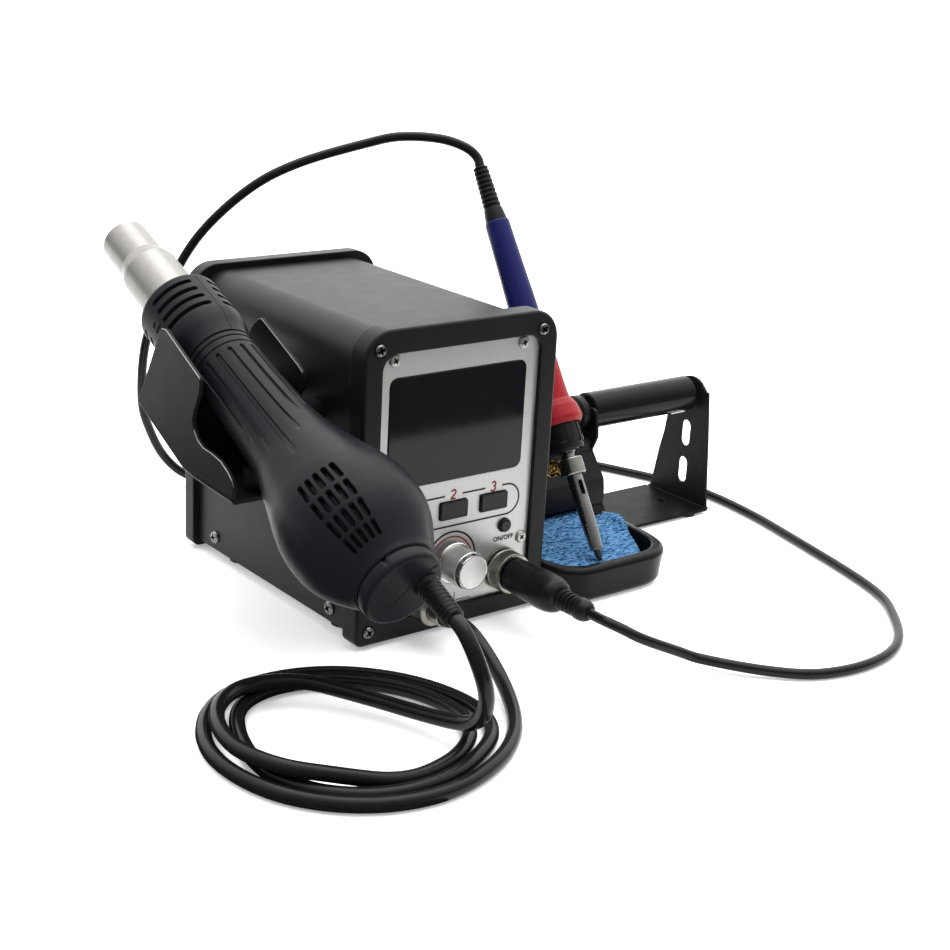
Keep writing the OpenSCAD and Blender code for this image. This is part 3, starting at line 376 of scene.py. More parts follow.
def fillet(pts, r=0.3, seg=3):
    """Rounds the inner corners of an open polyline; r is one radius or a list."""
    out = [tuple(pts[0])]
    for i in range(1, len(pts) - 1):
        a, b, c = (Vector(pts[i - 1]), Vector(pts[i]), Vector(pts[i + 1]))
        rr = r[i] if isinstance(r, (list, tuple)) else r
        u, v = a - b, c - b
        lu, lv = u.length, v.length
        if lu < 1e-6 or lv < 1e-6:
            continue
        u /= lu
        v /= lv
        ang = u.angle(v)
        if rr <= 0 or ang > math.radians(172):
            out.append(tuple(b))
            continue
        t = rr / math.tan(ang / 2)
        t = min(t, lu * 0.48, lv * 0.48)
        p0, p1 = b + u * t, b + v * t
        for k in range(seg + 1):
            s = k / seg
            q = (1 - s) ** 2 * p0 + 2 * s * (1 - s) * b + s * s * p1
            out.append(tuple(q))
    out.append(tuple(pts[-1]))
    return out


def lathe(name, prof, material, body, local, seg=96, fr=0.3, fseg=3, replaces=(), knurl=None, close=False, angle=38):
    """prof: (r, t) along local z. knurl: (t0, t1, count, depth)."""
    pr = fillet(prof, fr, fseg)
    if knurl:
        t0, t1, cnt, depth = knurl
        seg = cnt * 4
    bm = bmesh.new()
    rings = []
    for r, t in pr:
        ring = []
        for j in range(seg):
            a = 2 * math.pi * j / seg
            rr = r
            if knurl and t0 <= t <= t1:
                rr = r - depth * (0.5 - 0.5 * math.cos(a * cnt)) ** 1.0
            ring.append((max(rr, 0.0) * math.cos(a), max(rr, 0.0) * math.sin(a), t))
        rings.append(ring)
    loft(bm, rings, closed=close)
    bmesh.ops.remove_doubles(bm, verts=bm.verts, dist=1e-4)
    return make(name, bm, material, body, local, angle=angle, replaces=replaces)


def LY(x, y, z):
    """Local z runs along -Y from (x, y, z)."""
    return Matrix.Translation((x, y, z)) @ Matrix.Rotation(math.pi / 2, 4, "X")


def LYB(x, y, z):
    """Local z runs along +Y."""
    return Matrix.Translation((x, y, z)) @ Matrix.Rotation(-math.pi / 2, 4, "X")


def LX(x, y, z, sgn=1):
    return Matrix.Translation((x, y, z)) @ Matrix.Rotation(sgn * math.pi / 2, 4, "Y")


def rr_outline(x0, x1, z0, z1, rt, rb, n=8):
    """Rounded rectangle, counter-clockwise, corner radii top and bottom."""
    pts = []
    for cx, cz, r, a0 in ((x1 - rb, z0 + rb, rb, -90), (x1 - rt, z1 - rt, rt, 0), (x0 + rt, z1 - rt, rt, 90), (x0 + rb, z0 + rb, rb, 180)):
        for k in range(n + 1):
            a = math.radians(a0 + 90 * k / n)
            pts.append((cx + r * math.cos(a), cz + r * math.sin(a)))
    return pts


def round_poly(pts, n=5):
    """pts: (x, y, r) closed polygon, returns rounded outline."""
    out = []
    m = len(pts)
    for i in range(m):
        a, b, c = Vector(pts[i - 1][:2]), Vector(pts[i][:2]), Vector(pts[(i + 1) % m][:2])
        r = pts[i][2] if len(pts[i]) > 2 else 0
        u, v = a - b, c - b
        lu, lv = u.length, v.length
        u /= lu
        v /= lv
        ang = u.angle(v)
        if r <= 0 or ang > math.radians(176):
            out.append(tuple(b))
            continue
        t = min(r / math.tan(ang / 2), lu * 0.49, lv * 0.49)
        p0, p1 = b + u * t, b + v * t
        for k in range(n + 1):
            s = k / n
            q = (1 - s) ** 2 * p0 + 2 * s * (1 - s) * b + s * s * p1
            out.append(tuple(q))
    return out


def area2(pts):
    return sum(pts[i - 1][0] * pts[i][1] - pts[i][0] * pts[i - 1][1] for i in range(len(pts)))


def plate_bm(outer, holes, thick, bevel=0.25, res=2):
    """A flat plate with holes from z 0 to thick and softened edges, as a bmesh in local millimetres."""
    cu = bpy.data.curves.new("tmp", "CURVE")
    cu.dimensions = "2D"
    cu.fill_mode = "BOTH"
    cu.resolution_u = 1
    for k, pts in enumerate([outer] + list(holes)):
        pts = list(pts)
        if (area2(pts) > 0) != (k == 0):
            pts.reverse()
        sp = cu.splines.new("POLY")
        sp.points.add(len(pts) - 1)
        for i, p in enumerate(pts):
            sp.points[i].co = (p[0], p[1], 0, 1)
        sp.use_cyclic_u = True
    cu.extrude = thick / 2 - bevel
    cu.bevel_depth = bevel
    cu.bevel_resolution = res
    cu.offset = -bevel
    o = bpy.data.objects.new("tmp", cu)
    bpy.context.scene.collection.objects.link(o)
    dg = bpy.context.evaluated_depsgraph_get()
    me = bpy.data.meshes.new_from_object(o.evaluated_get(dg))
    bm = bmesh.new()
    bm.from_mesh(me)
    bpy.data.objects.remove(o)
    bpy.data.curves.remove(cu)
    bpy.data.meshes.remove(me)
    bmesh.ops.remove_doubles(bm, verts=bm.verts, dist=1e-3)
    bmesh.ops.translate(bm, verts=bm.verts, vec=(0, 0, thick / 2))
    return bm


def plate(name, outer, holes, thick, material, body, local, bevel=0.25, res=2, replaces=(), angle=50, edge=None):
    bm = plate_bm(outer, holes, thick, bevel, res)
    if edge:
        bmesh.ops.recalc_face_normals(bm, faces=bm.faces)
        bm.normal_update()
        for f in bm.faces:
            # painted highlight: only the bevel along the outer edge that looks up gets the light edge finish
            if -0.97 < f.normal.z < -0.12 and f.normal.y > 0.35:
                f.material_index = 1
        material = [material, edge]
    return make(name, bm, material, body, local, angle=angle, replaces=replaces)


# local frames for plates: outline (x, z) with thickness along +Y from y0; outline (y, z) with thickness along +X from x0
def FXZ(y0):
    return Matrix(((1, 0, 0, 0), (0, 0, 1, y0), (0, 1, 0, 0), (0, 0, 0, 1)))


def FYZ(x0):
    return Matrix(((0, 0, 1, x0), (1, 0, 0, 0), (0, 1, 0, 0), (0, 0, 0, 1)))


def circle(cx, cy, r, n=48):
    return [(cx + r * math.cos(2 * math.pi * k / n), cy + r * math.sin(2 * math.pi * k / n)) for k in range(n)]


def obround(cy, z0, z1, w, n=10):
    r = w / 2
    pts = [(cy + r * math.cos(math.radians(180 * k / n)), z1 - r + r * math.sin(math.radians(180 * k / n))) for k in range(n + 1)]
    pts += [(cy + r * math.cos(math.radians(180 + 180 * k / n)), z0 + r + r * math.sin(math.radians(180 + 180 * k / n))) for k in range(n + 1)]
    return pts


def catmull(pts, n):
    pts = [Vector(p) for p in pts]
    q = [2 * pts[0] - pts[1]] + pts + [2 * pts[-1] - pts[-2]]
    out = []
    for i in range(1, len(q) - 2):
        p0, p1, p2, p3 = q[i - 1:i + 3]
        for k in range(n):
            t = k / n
            out.append(0.5 * (2 * p1 + (p2 - p0) * t + (2 * p0 - 5 * p1 + 4 * p2 - p3) * t * t + (3 * p1 - p0 - 3 * p2 + p3) * t ** 3))
    out.append(pts[-1])
    return out


def smooth_path(pts, rounds=2):
    for _ in range(rounds):
        q = [p.copy() for p in pts]
        for i in range(3, len(pts) - 3):
            q[i] = (pts[i - 1] + 2 * pts[i] + pts[i + 1]) / 4
        pts = q
    return pts


def tube_bm(path, r, sides=14):
    bm = bmesh.new()
    n = len(path)
    t0 = (path[1] - path[0]).normalized()
    nv = t0.cross(Vector((1, 0.01, 0.02))).normalized()
    rings = []
    for i in range(n):
        if i == 0:
            t = t0
        elif i == n - 1:
            t = (path[-1] - path[-2]).normalized()
        else:
            t = ((path[i + 1] - path[i]).normalized() + (path[i] - path[i - 1]).normalized()).normalized()
        nv = (nv - t * nv.dot(t)).normalized()
        b = t.cross(nv)
        rings.append([path[i] + r * (math.cos(2 * math.pi * k / sides) * nv + math.sin(2 * math.pi * k / sides) * b) for k in range(sides)])
    loft(bm, rings, cap0=True, cap1=True)
    return bm


# ------------------------------------------------------------------ cords
HOSE = [[-74.5, -95.6, 57.05], [-74.5, -101.1, 54.8], [-74, -107, 48.5], [-71.5, -110.5, 38.5], [-69, -110.5, 29.5], [-67, -107, 20.5], [-66, -100, 13.5], [-66.5, -90, 9.5], [-70, -74, 7], [-77, -56, 6.5], [-86, -41, 7.5], [-97, -29, 9.5], [-109, -22.5, 10], [-121, -20.5, 10], [-132, -25, 10], [-141, -34, 10], [-147, -47, 10], [-149.5, -62, 10], [-147, -76, 10.2], [-141, -88, 10.2], [-132, -96.5, 9.5], [-121, -102, 7], [-110, -106, 4.5], [-98, -108, 3.4], [-84, -106, 3.4], [-72, -101, 3.4], [-61, -92, 3.4], [-54.5, -80, 3.4], [-53, -67, 3.4], [-57, -50, 3.4], [-66, -36, 3.4], [-78, -25, 3.4], [-91, -18.5, 3.4], [-104, -16.5, 3.4], [-117, -19.5, 3.4], [-127, -27, 3.4], [-134, -38, 3.4], [-139.5, -52, 3.4], [-142.5, -66, 3.4], [-142.5, -80, 3.4], [-137, -95, 3.4], [-127, -106, 3.4], [-114, -113, 3.4], [-99, -115.5, 3.4], [-83, -113.5, 3.4], [-68, -107, 3.4], [-55, -98, 3.4], [-47, -86, 3.4], [-44.5, -72, 3.4], [-47, -56, 3.4], [-54, -40, 3.4], [-65, -26, 3.4], [-79, -15.5, 3.4], [-95, -9.8, 3.4], [-111, -9, 3.4], [-126, -13, 3.4], [-139, -23, 3.4], [-149, -38, 3.4], [-154, -55, 3.4], [-153.5, -73, 3.4], [-148, -91, 3.4], [-137, -106, 3.4], [-122, -117, 3.4], [-105, -122.5, 3.4], [-88, -122.5, 3.4], [-71, -117.5, 3.4], [-56, -109.5, 3.4], [-43, -98, 3.6], [-33, -84, 4.5], [-26, -69, 7.5], [-22, -54, 12.5], [-20.5, -41, 17.3], [-20.5, -33, 18.8], [-20.5, -27, 18.8]]
IRON = [[85.3, 103.9, 188.35], [85.3, 106.7, 192.8], [81, 111, 197.5], [71, 119, 201], [58, 134, 200.5], [46, 146, 196],
        [17.5, 162, 185.5], [-4, 174, 172], [-22, 192, 147], [-33, 205, 118], [-40, 215.5, 89], [-37.3, 226, 54],
        [-30.5, 230, 35], [-21.5, 231.5, 18.5], [-10.5, 228, 7.4], [4, 226, 3.2], [26, 227.5, 2.6], [60, 232, 2.6],
        [98, 230, 2.6], [135, 218, 2.6], [165, 200, 2.6], [190, 173, 2.6], [209, 145, 2.6], [231, 92, 2.6],
        [234, 64, 2.6], [231, 34, 2.6], [225, 5, 2.6], [205, -72, 2.6], [185, -103, 2.6], [160, -125, 2.6],
        [132, -132, 2.6], [104, -127, 2.6], [84, -112, 3.4], [66, -93, 5.5], [56.5, -89, 9.5], [38, -84, 18],
        [32, -78, 21.5], [29, -72, 23], [28.5, -66, 23.1], [28.5, -60, 23.1]]


def cord_piece(name, route, r, node, per):
    path = smooth_path(catmull(route, per), 3)
    for p in path:
        p.z = max(p.z, r + 0.15)
    bm = tube_bm(path, r)
    o = make(name, bm, cord_m, None, angle=60, replaces=(node,), weighted=False)
    wp = [P(*p) for p in path]
    length = sum((b - a).length for a, b in zip(wp[:-1], wp[1:]))
    return o, wp, length


hose, hose_path, hose_len = cord_piece("gun_hose_tube", HOSE, 3.2, "gun_hose", 5)
lead, lead_path, lead_len = cord_piece("iron_lead", IRON, 2.4, "iron_cord", 8)
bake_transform(hose)
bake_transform(lead)
print("cord lengths", round(hose_len, 4), round(lead_len, 4))


# ------------------------------------------------------------------ station box
def rr3(hw, z0, z1, rt, rb, y, n=10):
    return [(x, y, z) for x, z in rr_outline(-hw, hw, z0, z1, max(rt, 0.05), max(rb, 0.05), n)]


def bezel_piece(name, node, y_face, sgn, depth):
    """Frame with a soft outer edge and a crisp opening. y_face is the outer face, sgn the way inward."""
    o = (52.5, 1.6, 143.2, 13.5, 4)
    i = (43.0, 11.0, 132.4, 7.5, 3.0)
    rings = []

    def outer(d, y):
        rings.append(rr3(o[0] - d, o[1] + d, o[2] - d, o[3] - d, o[4] - d * 0.6, y_face + sgn * y))

    def inner(d, y):
        rings.append(rr3(i[0] - d, i[1] + d, i[2] - d, i[3] - d, i[4] - d, y_face + sgn * y))

    inner(-1.3, depth)
    inner(-1.3, 2.2)
    inner(0.0, 2.1)
    inner(0.0, 0.5)
    for k in range(1, 4):
        a = math.radians(30 * k)
        inner(-0.5 * (1 - math.cos(a)), 0.5 - 0.5 * math.sin(a))
    R = 1.6
    for k in range(0, 7):
        a = math.radians(90 - 15 * k)
        outer(R - R * math.cos(a), R - R * math.sin(a))
    outer(0.0, depth * 0.5)
    for k in range(0, 4):
        a = math.radians(30 * k)
        outer(0.6 - 0.6 * math.cos(a), depth - 0.6 + 0.6 * math.sin(a))
    bm = bmesh.new()
    loft(bm, rings, closed=True)
    return make(name, bm, powder_bezel, "station", angle=60, replaces=(node,))


bezel_piece("bezel_front", "front_bezel", 0.0, 1, 11.0)
bezel_piece("bezel_rear", "rear_bezel", 152.4, -1, 9.0)


def cover_piece():
    def prof(hw, z0, z1, r, n=14):
        pts = [(-hw, z0)]
        for k in range(n + 1):
            a = math.radians(180 - 90 * k / n)
            pts.append((-hw + r + r * math.cos(a), z1 - r + r * math.sin(a)))
        for k in range(n + 1):
            a = math.radians(90 - 90 * k / n)
            pts.append((hw - r + r * math.cos(a), z1 - r + r * math.sin(a)))
        pts.append((hw, z0))
        return pts

    out = prof(49.3, 5.0, 140.0, 15.0)
    inn = prof(48.1, 5.0, 138.8, 13.8)
    ring = out + list(reversed(inn))
    bm = bmesh.new()
    ys = [11 + (143.4 - 11) * k / 6 for k in range(7)]
    loft(bm, [[(x, y, z) for x, z in ring] for y in ys], cap0=True, cap1=True)
    return make("cover_sheet", bm, powder, "station", angle=50, replaces=("cover_shell",))


cover_piece()

# front panel with its openings
BX = [-23.65, -0.95, 21.75]
panel_holes = [rr_outline(-38, 36.4, 71, 121.4, 4, 4, 6)]
for bx in BX:
    panel_holes.append(rr_outline(bx - 7.75, bx + 7.75, 52.4, 61.0, 0.9, 0.9, 4))
panel_holes.append(circle(29, 43.9, 3.4, 40))
panel_holes.append(circle(-1, 32.2, 3.5, 32))
panel_holes.append(circle(28.5, 23.1, 7.35, 48))
panel_holes.append(circle(-20.5, 18.8, 4.6, 32))
plate("panel_face", rr_outline(-43.9, 43.9, 10.1, 133.3, 8.1, 2.6, 8), panel_holes, 1.5, silver, "station", FXZ(2.1), bevel=0.18, replaces=("front_panel",))

# glossy display window
plate("display_glass", rr_outline(-37.9, 36.3, 71.1, 121.3, 3.9, 3.9, 8), [], 2.0, screen, "station", FXZ(1.6), bevel=0.35, res=3, replaces=("display_window",))


def strip(name, pts, w, material, y=2.04, h=0.06, closed=False):
    """A printed line of width w on the panel face, as a thin raised ribbon."""
    bm = bmesh.new()
    n = len(pts)
    rings = []
    for i in range(n):
        p = Vector(pts[i])
        a = Vector(pts[i - 1]) if (i > 0 or closed) else p
        b = Vector(pts[(i + 1) % n]) if (i < n - 1 or closed) else p
        t = (b - a).normalized()
        nn = Vector((-t.y, t.x))
        q0, q1 = p + nn * w / 2, p - nn * w / 2
        rings.append([(q0.x, y, q0.y), (q1.x, y, q1.y), (q1.x, y + h, q1.y), (q0.x, y + h, q0.y)])
    loft(bm, rings, closed=closed, cap0=not closed, cap1=not closed)
    return make(name, bm, material, "station", angle=60, weighted=False)


def arc(cx, cz, r, a0, a1, n=40):
    return [(cx + r * math.cos(math.radians(a0 + (a1 - a0) * k / n)), cz + r * math.sin(math.radians(a0 + (a1 - a0) * k / n))) for k in range(n + 1)]


# outline round the three buttons, open where the numerals stand
zt, zb, xr, xl = 63.6, 49.1, 36.8, -38.8
rr_ = (zt - zb) / 2
right = arc(xr - rr_, (zt + zb) / 2, rr_, 90, -90, 24)
left = arc(xl + rr_, (zt + zb) / 2, rr_, 270, 90, 24)
strip("outline_right", [(26.6, zt)] + right + [(0, zb)], 0.85, print_black)
strip("outline_left", [(0, zb)] + left + [(-28.4, zt)], 0.85, print_black)
strip("outline_top_a", [(-18.9, zt), (-5.8, zt)], 0.85, print_black)
strip("outline_top_b", [(3.9, zt), (16.9, zt)], 0.85, print_black)
# arcs and scale marks round the knob
strip("scale_arc_black", arc(-1, 32.2, 13.9, -28, 208, 60), 0.95, print_black)
strip("scale_arc_red", arc(-1, 32.2, 11.6, 8, 172, 50), 0.7, print_red)
strip("scale_tick_a", [(2.2, 12.6), (2.2, 16.6)], 0.4, print_black)
strip("scale_tick_b", [(0.2, 12.4), (11.2, 12.4)], 0.4, print_black)
strip("scale_tick_c", [(-4.2, 12.6), (-4.2, 16.6)], 0.4, print_black)
strip("scale_tick_d", [(-13.2, 12.4), (-2.2, 12.4)], 0.4, print_black)


def label(name, text, x, z, size, material, y=2.02, shear=0.0, spacing=1.0, bold=0.03):
    cu = bpy.data.curves.new(name, "FONT")
    cu.body = text
    cu.size = size
    cu.align_x = "CENTER"
    cu.align_y = "CENTER"
    cu.extrude = 0.03
    cu.shear = shear
    cu.space_character = spacing
    cu.offset = size * bold
    o = bpy.data.objects.new(name + "_tmp", cu)
    bpy.context.scene.collection.objects.link(o)
    dg = bpy.context.evaluated_depsgraph_get()
    me = bpy.data.meshes.new_from_object(o.evaluated_get(dg))
    bm = bmesh.new()
    bm.from_mesh(me)
    bpy.data.objects.remove(o)
    bpy.data.meshes.remove(me)
    loc = Matrix(((1, 0, 0, x), (0, 0, 1, y), (0, 1, 0, z), (0, 0, 0, 1)))
    return make(name, bm, material, "station", loc, angle=30, weighted=False)


def numeral(k, cx, cz):
    if k == 0:
        pts = [(-0.9, 1.15), (-0.35, 1.4), (0.15, 1.8), (0.35, 2.2), (0.35, -2.2)]
    elif k == 1:
        pts = arc(0, 1.0, 1.2, 165, -30, 14) + [(0.75, 0.05), (-0.2, -0.85), (-0.95, -1.6), (-1.2, -1.95), (1.5, -1.95)]
    else:
        pts = arc(0, 1.08, 1.1, 160, -70, 14) + [(0.05, 0.06)] + arc(0, -1.0, 1.22, 70, -160, 14)
    strip("numeral_%d" % (k + 1), [(cx + x + 0.1 * z, cz + z) for x, z in pts], 0.86, print_red, y=2.03)


for k, bx in enumerate(BX):
    numeral(k, bx - 0.2, zt + 0.2)
label("power_label", "ON/OFF", 29.0, 37.6, 3.05, print_black, spacing=1.08, bold=0.035)


# buttons
def soft_box(name, x0, x1, z0, z1, y0, y1, r, edge, material, body, node, dish=0.0):
    rings = []

    def ring(d, y):
        rings.append([(x, y, z) for x, z in rr_outline(x0 + d, x1 - d, z0 + d, z1 - d, max(r - d, 0.1), max(r - d, 0.1), 4)])

    ring(0.0, y1)
    ring(0.0, y0 + edge)
    for k in range(1, 5):
        a = math.radians(22.5 * k)
        ring(edge - edge * math.cos(a), y0 + edge - edge * math.sin(a))
    ring(edge + 0.7, y0 + dish)
    bm = bmesh.new()
    loft(bm, rings, cap0=True, cap1=True)
    return make(name, bm, material, body, angle=50, replaces=(node,))


for k, bx in enumerate(BX):
    soft_box("key_%d" % (k + 1), bx - 7.45, bx + 7.45, 52.7, 60.7, 0.5, 5.0, 0.8, 0.5, button_m, "button_%d" % (k + 1), "channel_button_%d" % (k + 1), dish=0.12)
lathe("key_power", [(0, 5.0), (3.15, 5.0), (3.15, 0.2), (2.2, 0.0), (0, 0.15)], button_m, "power", LYB(29, 0.2, 43.9), seg=64, fr=0.5, replaces=("power_button",))


# ------------------------------------------------------------------ knob, socket, plug, gland
K0 = LY(-1, 0.6, 32.2)
lathe("knob_skirt", [(3.05, 0), (9.0, 0), (9.8, 0.6), (9.8, 2.0), (9.3, 2.5), (3.05, 2.5)], knob_skirt_painted_shade, "knob", K0, seg=128, fr=[0, .2, .3, .3, .2, 0], replaces=("air_knob",))
lathe("knob_body", [(3.05, 2.4), (8.0, 2.4), (8.55, 2.9), (8.7, 12.6), (8.55, 12.9), (3.05, 12.9)], knob_side, "knob", K0, seg=128, fr=[0, .3, .4, .15, .1, 0], replaces=("air_knob",), knurl=(3.3, 12.4, 110, 0.09))
lathe("knob_rim", [(7.2, 12.8), (8.45, 12.8), (8.5, 13.1), (8.1, 15.0), (7.95, 15.4), (7.65, 15.6), (7.4, 15.45), (7.2, 15.35)], knob_edge, "knob", K0, seg=128, fr=[0, .1, .15, .2, .15, .1, .1, 0], replaces=("air_knob",))
lathe("knob_face", [(0, 15.42), (7.5, 15.42), (7.5, 15.0), (0, 15.0)], knob_m, "knob", K0, seg=128, fr=0.02, replaces=("air_knob",))
lathe("socket_washer", [(0, 2.1), (10.1, 2.1), (10.1, 0.9), (7.3, 0.9), (7.3, -5.2), (5.4, -5.2), (5.4, 3)], nickel, "station", LYB(28.5, 0, 23.1), seg=72, fr=0.2, replaces=("iron_socket",))
lathe("coupling_ring", [(7.4, 0.4), (9.3, 0.4), (9.6, 0.0), (9.6, -0.9), (9.25, -1.2), (9.6, -1.5), (9.6, -6.9), (9.3, -7.2), (9.3, -8.0), (7.0, -8.0), (7.0, -5.7), (7.4, -5.7)], nickel, "ring", LYB(28.5, 0, 23.1), fr=0.12, fseg=2, replaces=("plug_ring",), knurl=(-6.95, -1.45, 60, 0.35), close=True)


def plug_piece():
    prof = [(0, 5.3), (6.85, 5.3), (6.85, 8.2), (7.6, 8.4), (8.0, 9.2), (8.15, 14), (8.4, 19), (8.7, 25), (8.85, 30), (8.7, 33.8), (8.2, 36.6), (7.3, 38.9), (6.1, 40.4), (5.2, 41.0)]
    t = 41.4
    for k in range(4):
        r = 4.95 - 0.07 * k
        prof += [(r - 1.0, t), (r - 1.0, t + 0.85), (r, t + 1.1), (r - 0.03, t + 2.35)]
        t += 2.6
    prof += [(4.0, 51.8), (4.0, 52.3), (4.9, 52.6), (5.15, 53.6), (5.1, 56.2), (4.7, 57.8), (3.9, 59.2), (3.2, 59.9), (2.4, 60.0), (0, 60.0)]
    return lathe("plug_body", prof, plastic, "station", LY(28.5, 0, 23.1), seg=72, fr=0.28, fseg=2, replaces=("iron_plug",))


plug_piece()
# raised grip bars on the plug body
bm = bmesh.new()
for a in (58, 72, 86, 100, 114, 128):
    ca, sa = math.cos(math.radians(a)), math.sin(math.radians(a))
    r0 = []
    for t in (23.8, 24.6, 28.2, 29.0):
        hgt = 8.6 if t in (23.8, 29.0) else 9.0
        w = 0.42
        tx, tz = -sa, ca
        r0.append([(28.5 + (hgt) * ca + w * tx, -t, 23.1 + hgt * sa + w * tz), (28.5 + (hgt) * ca - w * tx, -t, 23.1 + hgt * sa - w * tz), (28.5 + 7.6 * ca - w * tx, -t, 23.1 + 7.6 * sa - w * tz), (28.5 + 7.6 * ca + w * tx, -t, 23.1 + 7.6 * sa + w * tz)])
    loft(bm, r0, cap0=True, cap1=True)
make("plug_grip_bars", bm, plastic, "station", angle=40)

lathe("gland_nut", [(3.4, -7), (4.5, -7), (4.5, -2.1), (7, -2.1), (7, 4.4), (6.4, 4.8), (7.6, 5.2), (8, 5.8), (8, 13.2), (7.5, 14), (5.5, 14.2), (5.5, 21.6), (5.2, 22), (3.4, 22)], nickel, "station", LY(-20.5, 0, 18.8), fr=0.15, fseg=2, replaces=("hose_gland",), knurl=(5.7, 13.3, 40, 0.55), close=True)
lathe("gland_boot", [(0, 20), (3.3, 20), (3.3, 22), (4.9, 22), (4.9, 22.8), (4.3, 23.2), (4.7, 23.7), (4.6, 24.4), (4.1, 24.8), (4.4, 25.3), (4.2, 26.2), (3.7, 27), (0, 27)], rubber, "station", LY(-20.5, 0, 18.8), seg=48, fr=0.2, replaces=("gland_relief",))


# ------------------------------------------------------------------ screws
def screw_heads(name, places, r, h, material, node, body="station", cw=0.2, cl=0.66, seat=0.0):
    """Phillips heads: places are matrices whose local z points out of the head."""
    bm = bmesh.new()
    for M in places:
        b2 = bmesh.new()
        pr = fillet([(0, -0.3), (r, -0.3), (r, h * 0.35), (r * 0.8, h * 0.85), (0, h)], 0.35, 3)
        rings = [[(q * math.cos(2 * math.pi * k / 40), q * math.sin(2 * math.pi * k / 40), t) for k in range(40)] for q, t in pr]
        loft(b2, rings)
        bmesh.ops.remove_doubles(b2, verts=b2.verts, dist=1e-4)
        bmesh.ops.recalc_face_normals(b2, faces=b2.faces)
        me = bpy.data.meshes.new("h")
        b2.to_mesh(me)
        b2.free()
        ob = bpy.data.objects.new("h", me)
        bpy.context.scene.collection.objects.link(ob)
        b3 = bmesh.new()
        w, L, d = r * cw, r * cl, h * 0.85
        # tapered cross as one closed prism
        cross = [(w, w), (L, w * 0.8), (L, -w * 0.8), (w, -w), (w * 0.8, -L), (-w * 0.8, -L), (-w, -w), (-L, -w * 0.8), (-L, w * 0.8), (-w, w), (-w * 0.8, L), (w * 0.8, L)]
        loft(b3, [[(x * 0.55, y * 0.55, h - d) for x, y in cross], [(x, y, h + 0.3) for x, y in cross]], cap0=True, cap1=True)
        bmesh.ops.recalc_face_normals(b3, faces=b3.faces)
        mc = bpy.data.meshes.new("c")
        b3.to_mesh(mc)
        b3.free()
        oc = bpy.data.objects.new("c", mc)
        bpy.context.scene.collection.objects.link(oc)
        md = ob.modifiers.new("b", "BOOLEAN")
        md.operation = "DIFFERENCE"
        md.object = oc
        md.solver = "EXACT"
        dg = bpy.context.evaluated_depsgraph_get()
        mr = bpy.data.meshes.new_from_object(ob.evaluated_get(dg))
        # painted shade: faces inside the cross recess take the near-black pit finish
        for q in mr.polygons:
            if q.center.z < h * 0.78 and math.hypot(q.center.x, q.center.y) < r * 0.75:
                q.material_index = 1
        mr.transform(M)
        bm.from_mesh(mr)
        for x in (ob, oc):
            bpy.data.objects.remove(x)
        for x in (me, mc, mr):
            bpy.data.meshes.remove(x)
        if seat:
            # painted shadow: a near-black flat ring round the head, where the seat lies in shade
            vs = [[bm.verts.new(M @ Vector((q * math.cos(math.pi * k / 24), q * math.sin(math.pi * k / 24), t))) for k in range(48)] for q, t in ((r * 0.9, 0.09), (seat - 0.12, 0.09), (seat, 0.0))]
            for a, b in zip(vs, vs[1:]):
                for k in range(48):
                    bm.faces.new((a[k], a[(k + 1) % 48], b[(k + 1) % 48], b[k])).material_index = 1
    return make(name, bm, [material, screw_pit_painted_shade], body, angle=32, replaces=(node,))


def spin(M, deg):
    return M @ Matrix.Rotation(math.radians(deg), 4, "Z")


# painted shade: near-black finish for the cross recesses and the seat rings
screw_pit_painted_shade = MT("screw_pit_painted_shade", color=(0.0022, 0.0022, 0.0025), rough=0.55, var=0.1, vscale=300, spec=0.06)
BS = [(-45, 134.9, 20), (43.2, 134.6, 50), (-46.2, 8.3, 35), (45.6, 8.1, 10)]
screw_heads("heads_front", [spin(LY(x, 0, z), a) for x, z, a in BS], 2.75, 1.3, black_screw, "front_bezel_screws", cw=0.22, cl=0.78, seat=3.35)
screw_heads("heads_rear", [spin(LYB(x, 152.4, z), a) for x, z, a in BS], 2.75, 1.3, black_screw, "rear_bezel_screws", cw=0.22, cl=0.78, seat=3.35)
screw_heads("heads_panel", [spin(LY(x, 2.1, z), a) for x, z, a in [(-36, 129.2, 30), (33.9, 129.2, 15), (-39.7, 36, 60), (39.4, 36.3, 40)]], 2.95, 1.3, chrome, "panel_screws", cw=0.17, cl=0.56)
screw_heads("heads_side", [spin(LX(s * 49.3, y, 11.5, s), a) for s in (-1, 1) for y, a in ((25.5, 40), (127, 15))], 3.2, 1.7, side_steel, "side_screws", cw=0.2, cl=0.7)


# ------------------------------------------------------------------ gun
def surf_grid(name, tl, al, radius, material, body, replaces=(), dark_below=None, closed_a=False, angle=45):
    """A surface of revolution sampled on t lines and angle lines (degrees) with radius(t, a)."""
    bm = bmesh.new()
    mi_dark = []
    rows = []
    ca = [(math.cos(math.radians(a)), math.sin(math.radians(a))) for a in al]
    for t in tl:
        row = []
        for (c, s), a in zip(ca, al):
            r, dt, dk = radius(t, a)
            v = bm.verts.new((r * c, r * s, t + dt))
            row.append((v, dk))
        rows.append(row)
    n = len(al)
    for i in range(len(tl) - 1):
        for j in range(n if closed_a else n - 1):
            q = (rows[i][j], rows[i][(j + 1) % n], rows[i + 1][(j + 1) % n], rows[i + 1][j])
            f = bm.faces.new([v for v, _ in q])
            # painted shade: quads flagged in the slot floors take the second, darker finish
            if sum(d for _, d in q) > 2.5:
                f.material_index = 1
    return make(name, bm, material, body, G, angle=angle, replaces=replaces, weighted=False)


